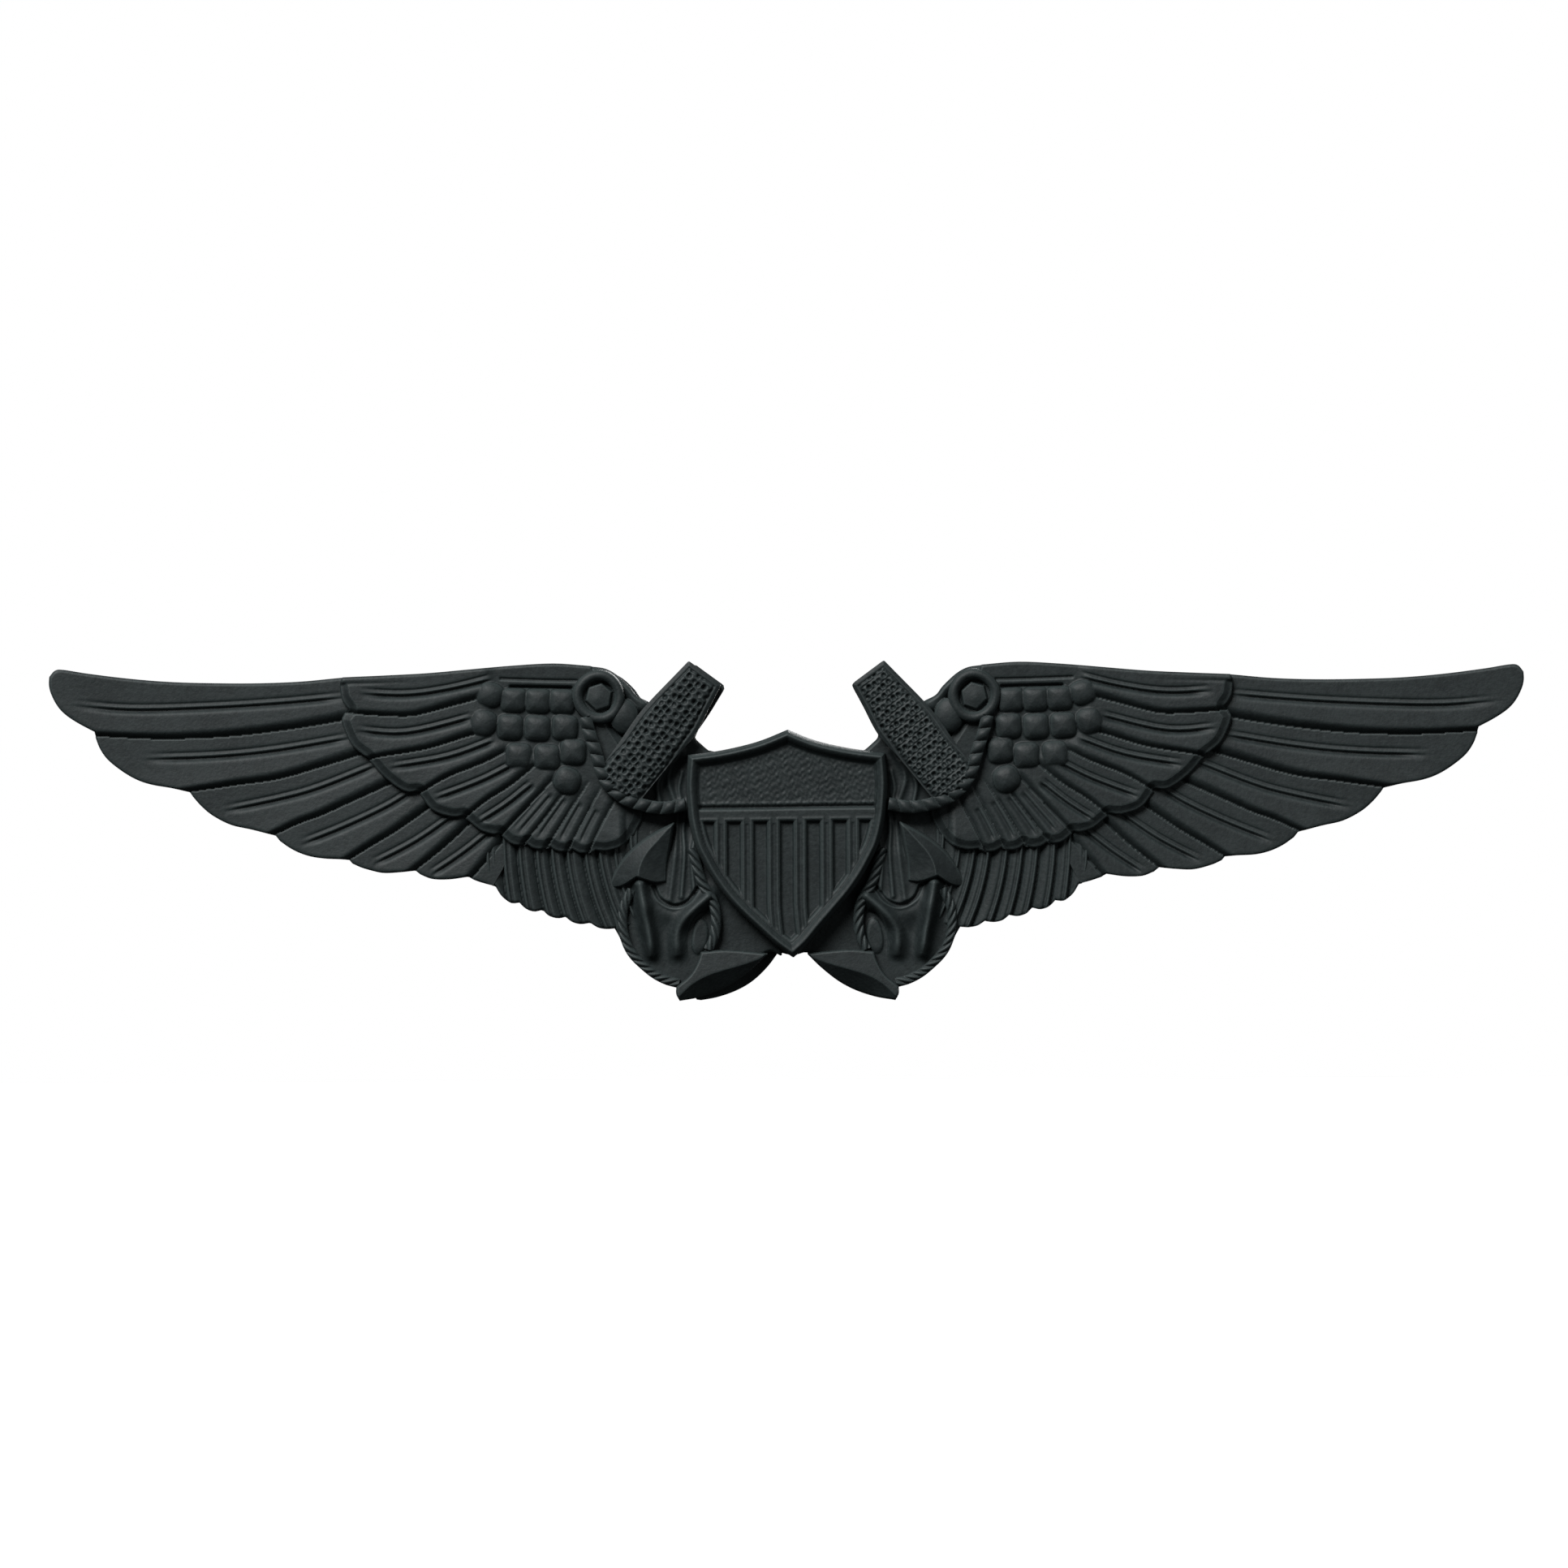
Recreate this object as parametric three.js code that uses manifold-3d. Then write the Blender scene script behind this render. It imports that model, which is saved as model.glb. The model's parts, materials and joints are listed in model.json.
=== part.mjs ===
// Flight officer's wings badge: a struck metal badge with a shield and crossed anchors between two
// wings, three nail posts soldered to its flat back, and a squeeze clutch on each post.
//
// Millimetres, +Z up, as worn. The badge faces -Y and its flat back lies in the plane Y = 0. The origin
// is where the centre post's axis meets the back. Posts and clutches stand out along +Y.
import * as THREE from "three";
import { mergeVertices } from "three/addons/utils/BufferGeometryUtils.js";
import Module from "manifold-3d";

const wasm = await Module();
wasm.setup();

// ---- Driving dimensions ----

const wingTip = { x: 34.3, z: 8.35 }; // top of the outermost feather
const plateThick = 1.1; // primary feathers, the lowest level of the relief
const tertialThick = 1.2;
const covertThick = 1.5;
const grooveDepth = 0.25;
const grooveWidth = 0.5;
const beadHeight = 0.35; // scapular beads above the covert layer
const beadRadius = 0.58;
const anchorThick = 1.75;
const palmThick = 2.0;
const stockThick = 2.15;
const shieldThick = 2.4;
const shieldFloor = 1.9; // bottom of the shield's recessed panels
const shieldHalf = 4.68;
const shieldRim = 0.5;
const stripePitch = 1.25;
const stripeWidth = 0.68;
const chiefBottom = 1.95;
const stripeTop = 1.3;

const postPlaces = { left: [-12, 3.1], centre: [0, 0], right: [12, 3.1] }; // X and Z of each post
const postRadius = 0.6;
const postLength = 9;
const postHeadRadius = 1.6;
const postHeadThick = 0.4;
const postPointLength = 1.4;
const postGroove = { from: 6.1, to: 6.9, radius: 0.45 };
const solderRadius = 2.1;
const solderHeight = 0.3;
const solderGap = 0.01;

const clutchStand = 2.6; // from the badge's back to the clutch's cloth face, the side that meets the cloth
const clutchRadius = 4.8;
const sheet = 0.35; // thickness of the clutch's brass sheet
const clutchHole = 0.85;
const funnelMouth = 1.5; // radius of the hole's flare on the cloth face
const funnelDepth = 0.6;
const rimHeight = 1.0; // the base's edge turns up this far
const rimWall = 0.4; // the turned edge is folded almost double

const cheekPlace = 2.55; // inner face of each side cheek, along Z
const cheekHalf = 2.95; // half width of a cheek at its foot, along X
const coverTopHalf = 1.35; // half width of the bridge between the cheeks
const coverTop = 3.75; // height of the bridge's outer face above the cloth face
const footReach = 0.7; // each cheek's foot is bent outwards this far, onto the base
const footHalf = 2.0;
const bridgeHole = 0.85;
const crimpGap = 0.02; // between the cover's feet and the base

const pivotX = 2.2;
const pivotY = 2.3; // above the cloth face
const pivotRadius = 0.3;
const pivotClearance = 0.1;
const pivotProud = 0.12; // how far a pivot stands out of its cheek
const leverHalf = 2.4; // half width of a lever along Z
const leverSheet = 0.4;
const jawEdge = 0.3; // from the post's axis to a jaw's edge
const jawHeight = 1.35;
const jawNotch = 0.7; // radius of the round notch of each jaw, around the post
const earTop = 5.1;
const earReach = 4.1; // X of an ear's top
const earTopHalf = 1.7; // an ear narrows to this half width

const springWire = 0.2; // wire radius
const springHeight = 2.9;
const springLeg = 1.7; // X of each straight leg
const springEnd = 1.9; // Z where the legs end; the bow lies at the other side
const springBow = -2.2; // Z of the bow's middle

const colours = {
  blackFinish: { color: 0x1c2021, roughness: 0.5, metalness: 0.3 },
  solder: { color: 0x55585a, roughness: 0.45, metalness: 0.8 },
  brass: { color: 0xb98a3c, roughness: 0.32, metalness: 1 },
  springSteel: { color: 0x9a9ea2, roughness: 0.3, metalness: 1 },
};

// ---- Solids and meshes ----

/** A closed three.js geometry as a manifold-3d solid. */
function solid(geometry) {
  const bare = geometry.clone();
  for (const name of Object.keys(bare.attributes)) {
    if (name !== "position") bare.deleteAttribute(name);
  }
  const merged = mergeVertices(bare, 1e-4);
  const mesh = new wasm.Mesh({
    numProp: 3,
    vertProperties: new Float32Array(merged.attributes.position.array),
    triVerts: new Uint32Array(merged.index.array),
  });
  return new wasm.Manifold(mesh);
}

/** A manifold-3d solid as a three.js geometry. */
function geometryOf(made) {
  const mesh = made.getMesh();
  const geometry = new THREE.BufferGeometry();
  geometry.setAttribute("position", new THREE.BufferAttribute(mesh.vertProperties, 3));
  geometry.setIndex(new THREE.BufferAttribute(mesh.triVerts, 1));
  geometry.computeVertexNormals();
  return geometry;
}

function union(solids) {
  return solids.reduce((all, next) => all.add(next));
}

/** A shape drawn in X and Z, extruded from Y = back towards the front, -Y, by depth. */
function slab(shape, depth, back = 0, curveSegments = 4) {
  const geometry = new THREE.ExtrudeGeometry(shape, { depth, bevelEnabled: false, curveSegments });
  const place = geometry.attributes.position;
  for (let i = 0; i < place.count; i += 1) {
    place.setXYZ(i, place.getX(i), back - place.getZ(i), place.getY(i));
  }
  return geometry;
}

/** The mirror image of a solid in the plane X = 0. */
function mirrored(made) {
  return made.mirror([1, 0, 0]);
}

function bothSides(made) {
  return made.add(mirrored(made));
}

/** A lathe about the Y axis: points are [radius, Y], and the profile closes on itself or on the axis. */
function turned(points, segments) {
  const profile = points.map(([radius, y]) => new THREE.Vector2(radius, y));
  return new THREE.LatheGeometry(profile, segments);
}

function shapeOf(points) {
  return new THREE.Shape(points.map(([x, z]) => new THREE.Vector2(x, z)));
}

// ---- The struck badge ----

/** The right wing's silhouette: leading edge, feather tips as arcs between notches, and the root. */
function wingSilhouette() {
  const shape = new THREE.Shape();
  shape.moveTo(6.2, 5);
  shape.lineTo(7.1, 7.3);
  shape.quadraticCurveTo(7.9, 8.4, 9.3, 8.5);
  shape.lineTo(13.3, 8.45);
  shape.lineTo(20.8, 8.0);
  shape.quadraticCurveTo(27.5, 7.15, wingTip.x, wingTip.z);
  shape.bezierCurveTo(35.5, 8.3, 35.2, 6.2, 32.7, 5.35);
  shape.bezierCurveTo(32.0, 3.3, 30.3, 2.7, 28.1, 2.5);
  shape.bezierCurveTo(27.2, 1.2, 26.0, 0.7, 24.1, 0.5);
  shape.bezierCurveTo(23.3, -0.5, 22.2, -0.75, 20.7, -0.65);
  shape.bezierCurveTo(20.0, -1.4, 18.8, -1.45, 17.6, -1.2);
  shape.bezierCurveTo(16.9, -1.75, 16.0, -1.75, 15.1, -1.5);
  shape.lineTo(14.0, -1.8);
  shape.quadraticCurveTo(13.2, -3.0, 12.0, -2.9);
  shape.quadraticCurveTo(11.2, -3.6, 10.3, -3.35);
  shape.quadraticCurveTo(9.4, -4.05, 8.3, -3.85);
  shape.lineTo(5, -4);
  return shape;
}

/** The covert layer's silhouette over the wing. */
function covertSilhouette() {
  const shape = new THREE.Shape();
  shape.moveTo(8, 3);
  shape.lineTo(8.6, 8.2);
  shape.lineTo(13.3, 8.38);
  shape.lineTo(20.8, 7.92);
  shape.quadraticCurveTo(21.3, 7, 20.8, 6.3);
  shape.quadraticCurveTo(20.9, 5, 19.8, 4.2);
  shape.quadraticCurveTo(19.2, 3, 17.8, 2.8);
  shape.quadraticCurveTo(17, 1.6, 15.5, 1.4);
  shape.quadraticCurveTo(14.6, 0.5, 13.3, 0.6);
  shape.quadraticCurveTo(11.5, -0.3, 8, 0);
  shape.lineTo(7, 1);
  return shape;
}

/** The short feathers that hang below the coverts, beside the anchor. */
function tertialSilhouette() {
  const shape = new THREE.Shape();
  shape.moveTo(7, 0.5);
  shape.lineTo(13.5, 0.5);
  shape.quadraticCurveTo(14.3, -0.8, 13.9, -1.8);
  shape.quadraticCurveTo(13.2, -2.9, 12.0, -2.8);
  shape.quadraticCurveTo(11.2, -3.5, 10.3, -3.25);
  shape.quadraticCurveTo(9.4, -3.95, 8.3, -3.75);
  shape.lineTo(7, -3);
  return shape;
}

// The grooves between feathers: from the silhouette to the root, with a bend between, as X and Z.
const primaryGrooves = [
  [[32.7, 5.35], [26.5, 4.9], [20.9, 6.0]],
  [[28.2, 2.5], [24.0, 2.7], [20.0, 4.2]],
  [[24.2, 0.5], [21.6, 1.3], [18.6, 2.9]],
  [[20.7, -0.65], [19.0, 0.1], [16.7, 1.85]],
  [[17.6, -1.2], [16.2, -0.3], [14.9, 1.05]],
  [[15.1, -1.5], [14.3, -0.8], [13.7, 0.3]],
];
const covertGrooves = [
  [[20.9, 6.3], [18.0, 5.8], [14.9, 6.75]],
  [[19.8, 4.2], [17.3, 4.2], [14.3, 5.2]],
  [[17.8, 2.8], [16.0, 3.0], [13.6, 4.2]],
  [[15.5, 1.4], [14.0, 1.9], [12.4, 3.2]],
  [[13.3, 0.6], [12.3, 1.0], [10.8, 2.4]],
];
const tertialGrooves = [13.3, 12.5, 11.7, 10.8, 9.9, 9.0].map((x) => [[x + 0.7, -4], [x, -2], [x, 0.6]]);

/** A groove, widest at its bend, that runs out past the silhouette of a layer of the given thickness. */
function groove([from, bend, to], thick) {
  const end = grooveWidth / 5;
  const half = grooveWidth / 2;
  const mouth = from.map((value, axis) => value + 0.1 * (value - bend[axis]));
  const shape = new THREE.Shape();
  shape.moveTo(mouth[0] + end, mouth[1] + end);
  shape.quadraticCurveTo(bend[0] + half, bend[1] + half, to[0] + end, to[1] + end);
  shape.lineTo(to[0] - end, to[1] - end);
  shape.quadraticCurveTo(bend[0] - half, bend[1] - half, mouth[0] - end, mouth[1] - end);
  return solid(slab(shape, 1, grooveDepth - thick, 5));
}

function featherLayer(silhouette, thick, grooves) {
  return solid(slab(silhouette, thick)).subtract(union(grooves.map((line) => groove(line, thick))));
}

// The scapular beads, as rows of X and Z.
const beadRows = [
  { z: 6.6, xs: [10.6, 11.8, 13.0] },
  { z: 5.5, xs: [10.5, 11.7, 12.9] },
  { z: 4.2, xs: [10.1, 11.3, 12.7] },
  { z: 2.95, xs: [10.35] },
];
const outerBeads = [
  [14.1, 7.1],
  [14.4, 5.6],
];

function beads() {
  const places = beadRows.flatMap(({ z, xs }) => xs.map((x) => [x, z])).concat(outerBeads);
  const profile = [
    [0, -covertThick - beadHeight],
    [0.55 * beadRadius, -covertThick - 0.75 * beadHeight],
    [beadRadius, -covertThick],
    [beadRadius, -plateThick],
    [0, -plateThick],
  ];
  return union(places.map(([x, z]) => solid(turned(profile, 8)).translate([x, 0, z])));
}

function shieldOutline(inset) {
  const half = shieldHalf - inset;
  const shape = new THREE.Shape();
  shape.moveTo(0, 5.35 - 1.1 * inset);
  shape.quadraticCurveTo(-0.36 * half, 4.5 - inset, -half, 4.3 - inset);
  shape.lineTo(-half, 2.5);
  shape.bezierCurveTo(-half, -1.5 + inset, -2.2, -3.8 + inset, 0, -5.35 + 1.3 * inset);
  shape.bezierCurveTo(2.2, -3.8 + inset, half, -1.5 + inset, half, 2.5);
  shape.lineTo(half, 4.3 - inset);
  shape.quadraticCurveTo(0.36 * half, 4.5 - inset, 0, 5.35 - 1.1 * inset);
  return shape;
}

/** A box from X0 to X1 and Z0 to Z1, through the front of the badge. */
function band(x0, x1, z0, z1) {
  return solid(slab(shapeOf(rectangle(x0, x1, z0, z1)), 4));
}

/** The shield: a raised plate whose chief and seven stripes are sunk inside its rim. */
function shield() {
  const plate = solid(slab(shieldOutline(0), shieldThick, 0, 10));
  const well = solid(slab(shieldOutline(shieldRim), 2, -shieldFloor, 10));
  const stripes = [-3, -2, -1, 0, 1, 2, 3].map((k) => {
    const middle = k * stripePitch;
    return band(middle - stripeWidth / 2, middle + stripeWidth / 2, -6, stripeTop);
  });
  const sunk = union([band(-5, 5, chiefBottom, 6), ...stripes]).intersect(well);
  return plate.subtract(sunk);
}

/** The stock of an anchor: a bar from head to foot, widest at its middle. */
function stock() {
  return solid(
    slab(
      shapeOf([
        [4.45, 8.55],
        [3.05, 7.6],
        [4.4, 5.2],
        [6.9, 2.1],
        [8.6, 3.2],
        [6.4, 6.7],
      ]),
      stockThick,
    ),
  );
}

function anchorRing() {
  const outer = 1.2;
  const inner = 0.65;
  const profile = [
    [inner, 0],
    [outer, 0],
    [outer, -anchorThick + 0.2],
    [(outer + inner) / 2, -anchorThick],
    [inner, -anchorThick + 0.2],
    [inner, 0],
  ].reverse();
  return solid(turned(profile, 20)).translate([8.85, 0, 6.9]);
}

function palm() {
  const shape = new THREE.Shape();
  shape.moveTo(5.3, 1.0);
  shape.quadraticCurveTo(5.9, -0.4, 5.7, -1.9);
  shape.lineTo(6.9, -1.6);
  shape.lineTo(8.55, -2.25);
  shape.quadraticCurveTo(7.9, -0.6, 5.3, 1.0);
  return solid(slab(shape, palmThick));
}

/** The anchor's arm, swelling from the palm to the crown. */
function arm() {
  const shape = new THREE.Shape();
  shape.moveTo(7.1, -1.5);
  shape.lineTo(5.2, -1.5);
  shape.lineTo(3.7, -2.3);
  shape.lineTo(3.3, -5.2);
  shape.quadraticCurveTo(4.6, -6.9, 6.4, -5.7);
  shape.quadraticCurveTo(7.8, -4.4, 7.1, -1.5);
  return solid(slab(shape, anchorThick));
}

/** The crown's crescent, from the fluke's point to under the shield. */
function crown() {
  const shape = new THREE.Shape();
  shape.moveTo(4.75, -7.4);
  shape.quadraticCurveTo(2.1, -7.2, 0.6, -5.2);
  shape.lineTo(0.2, -4.6);
  shape.lineTo(3.6, -4.9);
  shape.lineTo(4.6, -6.3);
  return solid(slab(shape, anchorThick - 0.1));
}

/** The rope that runs round the arm, as a flat arc of its own width. */
function ropeArc() {
  const shape = new THREE.Shape();
  shape.absarc(4.35, -3.3, 3.75, -1.45, 0.25, false);
  shape.absarc(4.35, -3.3, 2.6, 0.25, -1.45, true);
  return solid(slab(shape, anchorThick - 0.25, 0, 12));
}

/** Ground that joins the anchors, the wings' roots and the shield. */
function centreGround() {
  return solid(
    slab(
      shapeOf([
        [-0.1, 4],
        [-3.7, 4.45],
        [-4.4, 5.1],
        [-6.4, 6.7],
        [-8, 6],
        [-8.2, -3.8],
        [-4, -5],
        [-0.1, -5],
      ]),
      plateThick,
    ),
  );
}

function badgePlate() {
  const wing = featherLayer(wingSilhouette(), plateThick, primaryGrooves);
  const coverts = featherLayer(covertSilhouette(), covertThick, covertGrooves);
  const tertials = featherLayer(tertialSilhouette(), tertialThick, tertialGrooves);
  const anchor = union([stock(), anchorRing(), palm(), arm(), crown(), ropeArc()]);
  const side = union([wing, coverts, tertials, beads(), anchor, centreGround()]);
  return geometryOf(bothSides(side).add(shield()));
}

// ---- Posts ----

/** A nail post: its head lies on the badge's back and its point is away from it. */
function post() {
  const { from, to, radius } = postGroove;
  return turned(
    [
      [0, 0],
      [postHeadRadius, 0],
      [postHeadRadius, postHeadThick],
      [postRadius, postHeadThick],
      [postRadius, from],
      [radius, from + 0.2],
      [radius, to - 0.2],
      [postRadius, to],
      [postRadius, postLength - postPointLength],
      [0, postLength],
    ],
    16,
  );
}

/** The ring of solder round a post's head. */
function solderRing() {
  const inner = postHeadRadius + solderGap;
  return turned(
    [
      [inner, 0],
      [solderRadius, 0],
      [inner + 0.15, solderHeight],
      [inner, solderHeight],
      [inner, 0],
    ],
    16,
  );
}

// ---- Clutch, drawn about its own post's axis, with Y measured from the cloth face ----

/** The base: a sheet disc with a flared hole and a turned-up edge. */
function clutchBase() {
  const edge = clutchRadius;
  return turned(
    [
      [clutchHole, funnelDepth - 0.2],
      [funnelMouth, 0],
      [edge - 0.5, 0],
      [edge - 0.1, 0.2],
      [edge, 0.6],
      [edge - 0.1, rimHeight],
      [edge - rimWall, rimHeight],
      [edge - rimWall - 0.15, sheet],
      [funnelMouth + 0.25, sheet],
      [clutchHole + 0.25, funnelDepth],
      [clutchHole, funnelDepth],
      [clutchHole, funnelDepth - 0.2],
    ],
    28,
  );
}

/** A prism with its outline in X and Y, from Z = low to Z = high. */
function prism(points, low, high) {
  const shape = new THREE.Shape(points.map(([x, y]) => new THREE.Vector2(x, y)));
  const geometry = new THREE.ExtrudeGeometry(shape, { depth: high - low, bevelEnabled: false, curveSegments: 6 });
  return solid(geometry.translate(0, 0, low));
}

function rectangle(x0, x1, y0, y1) {
  return [
    [x0, y0],
    [x1, y0],
    [x1, y1],
    [x0, y1],
  ];
}

/** A round rod along Z. */
function rod(radius, x, y, low, high, sides = 12) {
  const geometry = new THREE.CylinderGeometry(radius, radius, high - low, sides);
  return solid(geometry.rotateX(Math.PI / 2).translate(x, y, (low + high) / 2));
}

/** The cover: two side cheeks that carry the levers' pivots, with feet on the base and a bridge on top. */
function clutchCover() {
  const foot = sheet + crimpGap;
  const outer = cheekPlace + sheet;
  const shoulder = pivotY + 0.3;
  const cheek = [
    [-cheekHalf, foot],
    [cheekHalf, foot],
    [cheekHalf, shoulder],
    [coverTopHalf, coverTop],
    [-coverTopHalf, coverTop],
    [-cheekHalf, shoulder],
  ];
  const cheeks = prism(cheek, -outer, -cheekPlace).add(prism(cheek, cheekPlace, outer));
  const bridge = prism(rectangle(-coverTopHalf, coverTopHalf, coverTop - sheet, coverTop), -outer, outer);
  const footPlate = rectangle(-footHalf, footHalf, foot, foot + sheet);
  const feet = prism(footPlate, outer - sheet, outer + footReach).add(
    prism(footPlate, -outer - footReach, sheet - outer),
  );
  const holeRadius = pivotRadius + pivotClearance;
  const holes = [-pivotX, pivotX].map((x) => rod(holeRadius, x, pivotY, -4, 4));
  const postOpening = solid(new THREE.CylinderGeometry(bridgeHole, bridgeHole, 2, 16).translate(0, coverTop, 0));
  return geometryOf(union([cheeks, bridge, feet]).subtract(union([...holes, postOpening])));
}

/** A lever: a jaw that closes on the post, a pivot, and an ear to squeeze. side is 1 at +X and -1 at -X. */
function clutchLever(side) {
  const half = leverSheet / 2;
  const bend = [
    [jawEdge, jawHeight - half],
    [pivotX - 0.9, jawHeight - half],
    [pivotX + half, pivotY - 0.25],
    [pivotX + half + 0.1, pivotY + 0.2],
    [earReach + half, earTop],
    [earReach - half, earTop + 0.1],
    [pivotX - half, pivotY + 0.3],
    [pivotX - half - 0.1, pivotY],
    [pivotX - 1.05, jawHeight + half],
    [jawEdge, jawHeight + half],
  ];
  const pinEnd = cheekPlace + sheet + pivotProud;
  const pin = rod(pivotRadius, pivotX, pivotY, -pinEnd, pinEnd);
  const notch = solid(new THREE.CylinderGeometry(jawNotch, jawNotch, 3, 16).translate(0, jawHeight, 0));
  const lever = prism(bend, -leverHalf, leverHalf).subtract(notch).intersect(earOutline()).add(pin);
  return geometryOf(side < 0 ? mirrored(lever) : lever);
}

/** The lever's outline as seen from its side: full width below, narrowing towards the ear's top. */
function earOutline() {
  const shoulder = earTop - 1.7;
  const top = earTop + 0.2;
  const outline = shapeOf([
    [-leverHalf, 0],
    [leverHalf, 0],
    [leverHalf, shoulder],
    [earTopHalf, top],
    [-earTopHalf, top],
    [-leverHalf, shoulder],
  ]);
  const across = new THREE.ExtrudeGeometry(outline, { depth: clutchRadius, bevelEnabled: false });
  return solid(across.rotateY(Math.PI / 2));
}

/** The hairpin spring: two straight legs beside the levers, joined by a bow round the post. */
function clutchSpring() {
  const legStart = (side, z) => new THREE.Vector3(side * springLeg, springHeight, z);
  const bowStart = springBow + springLeg;
  const control = bowStart + (springBow - bowStart) / 0.75; // a cubic reaches three quarters of the way
  const path = new THREE.CurvePath();
  path.add(new THREE.LineCurve3(legStart(1, springEnd), legStart(1, bowStart)));
  path.add(
    new THREE.CubicBezierCurve3(
      legStart(1, bowStart),
      legStart(1, control),
      legStart(-1, control),
      legStart(-1, bowStart),
    ),
  );
  path.add(new THREE.LineCurve3(legStart(-1, bowStart), legStart(-1, springEnd)));
  const section = new THREE.Shape();
  section.absarc(0, 0, springWire, 0, 2 * Math.PI);
  return new THREE.ExtrudeGeometry(section, { steps: 20, extrudePath: path, curveSegments: 8, bevelEnabled: false });
}

// ---- Assembly ----

function mesh(name, geometry, finish) {
  const made = new THREE.Mesh(geometry, new THREE.MeshStandardMaterial(colours[finish]));
  made.name = name;
  return made;
}

const badge = new THREE.Group();
badge.add(mesh("badge_plate", badgePlate(), "blackFinish"));

for (const [where, [x, z]] of Object.entries(postPlaces)) {
  const station = new THREE.Group();
  station.position.set(x, 0, z);
  station.add(mesh(`post_${where}`, post(), "blackFinish"));
  station.add(mesh(`post_solder_${where}`, solderRing(), "solder"));

  const clutch = new THREE.Group();
  clutch.position.y = clutchStand;
  clutch.add(mesh(`clutch_base_${where}`, clutchBase(), "brass"));
  clutch.add(mesh(`clutch_cover_${where}`, clutchCover(), "brass"));
  clutch.add(mesh(`clutch_lever_a_${where}`, clutchLever(1), "brass"));
  clutch.add(mesh(`clutch_lever_b_${where}`, clutchLever(-1), "brass"));
  clutch.add(mesh(`clutch_spring_${where}`, clutchSpring(), "springSteel"));
  station.add(clutch);
  badge.add(station);
}

export default badge;
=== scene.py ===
"""Flight crew wings badge: the struck face, the nail posts and the squeeze clutches.

The face is built as closed relief pieces. Each one is a height above the badge's back, worked out over a fine
grid inside an outline. All sizes are in millimetres and are turned into metres when a mesh is made. Outlines
are given for the side where x is positive, and the other side is their mirror image.
"""

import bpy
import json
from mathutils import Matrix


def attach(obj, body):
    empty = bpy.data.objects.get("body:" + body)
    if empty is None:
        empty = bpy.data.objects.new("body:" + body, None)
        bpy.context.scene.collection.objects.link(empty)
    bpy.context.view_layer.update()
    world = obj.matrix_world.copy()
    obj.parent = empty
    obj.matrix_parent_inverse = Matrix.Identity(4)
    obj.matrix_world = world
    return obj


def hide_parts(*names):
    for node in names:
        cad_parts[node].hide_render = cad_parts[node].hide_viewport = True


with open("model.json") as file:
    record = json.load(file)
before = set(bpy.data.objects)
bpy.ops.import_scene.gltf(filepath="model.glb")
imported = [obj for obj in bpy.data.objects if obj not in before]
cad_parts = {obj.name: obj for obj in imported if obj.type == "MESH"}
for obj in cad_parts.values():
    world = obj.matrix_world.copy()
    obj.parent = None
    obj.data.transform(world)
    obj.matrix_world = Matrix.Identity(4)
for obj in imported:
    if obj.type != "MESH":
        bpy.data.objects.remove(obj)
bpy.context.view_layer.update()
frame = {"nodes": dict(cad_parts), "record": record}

import json
import logging
import math
from dataclasses import dataclass, field
from enum import Enum
from typing import Callable, Sequence

import bmesh
import bpy
import numpy as np

MM = 0.001
Point = tuple[float, float]
log = logging.getLogger("badge")


class Side(Enum):
    """Which half of the badge a piece is on, as the sign of its x."""

    LEFT = -1
    RIGHT = 1


class Knurl(Enum):
    """How the grip of an anchor's stock is cut."""

    PITTED = "pitted"
    ROWS = "rows"


# ------------------------------------------------------------ lines and areas


def smooth(value: np.ndarray) -> np.ndarray:
    """Smooth step: 0 below 0, 1 above 1, and three times the square less twice the cube between."""
    t = np.clip(value, 0, 1)
    return t * t * (3 - 2 * t)


def crest(value: np.ndarray) -> np.ndarray:
    """Quarter sine: it leaves 0 at a steady climb and arrives level at 1."""
    return np.sin(math.pi / 2 * np.clip(value, 0, 1))


def bell(value: np.ndarray) -> np.ndarray:
    """Bell: e to the power of minus the square."""
    return np.exp(-(value**2))


def rolled(inset: np.ndarray, width: float) -> np.ndarray:
    """How far an edge has rolled off: 1 at the edge and 0 from this width inwards, as a quarter sine."""
    return 1 - crest(inset / width)


def chamfer(inset: np.ndarray, width: float) -> np.ndarray:
    """How far an edge is cut away: 1 at the edge, falling evenly to 0 at this width inwards."""
    return 1 - np.clip(inset / width, 0, 1)


def rounded(points: Sequence[Point], per_span: int) -> np.ndarray:
    """Sample a Catmull-Rom curve through the points.

    Between two points the curve is the cubic whose slopes at both ends are half the step between their
    neighbours. The end points are repeated so that the curve reaches them.

    Args:
        points: the points to pass through.
        per_span: how many samples each span gets.

    Returns:
        The samples, one row each.
    """
    p = np.asarray(points, float)
    if len(p) < 3:
        return p
    padded = np.vstack([2 * p[0] - p[1], p, 2 * p[-1] - p[-2]])
    t = np.linspace(0, 1, per_span, endpoint=False)[:, None, None]
    a, b, c, d = padded[:-3], padded[1:-2], padded[2:-1], padded[3:]
    curve = 0.5 * (2 * b + (c - a) * t + (2 * a - 5 * b + 4 * c - d) * t**2 + (3 * b - a - 3 * c + d) * t**3)
    return np.vstack([curve.transpose(1, 0, 2).reshape(-1, 2), p[-1]])


@dataclass(frozen=True)
class Found:
    """Where points lie from a line: offset to its left, share of its length, and the nearest point on it."""

    offset: np.ndarray
    along: np.ndarray
    foot: np.ndarray

    @property
    def distance(self) -> np.ndarray:
        """Distance from the line."""
        return np.abs(self.offset)


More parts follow.
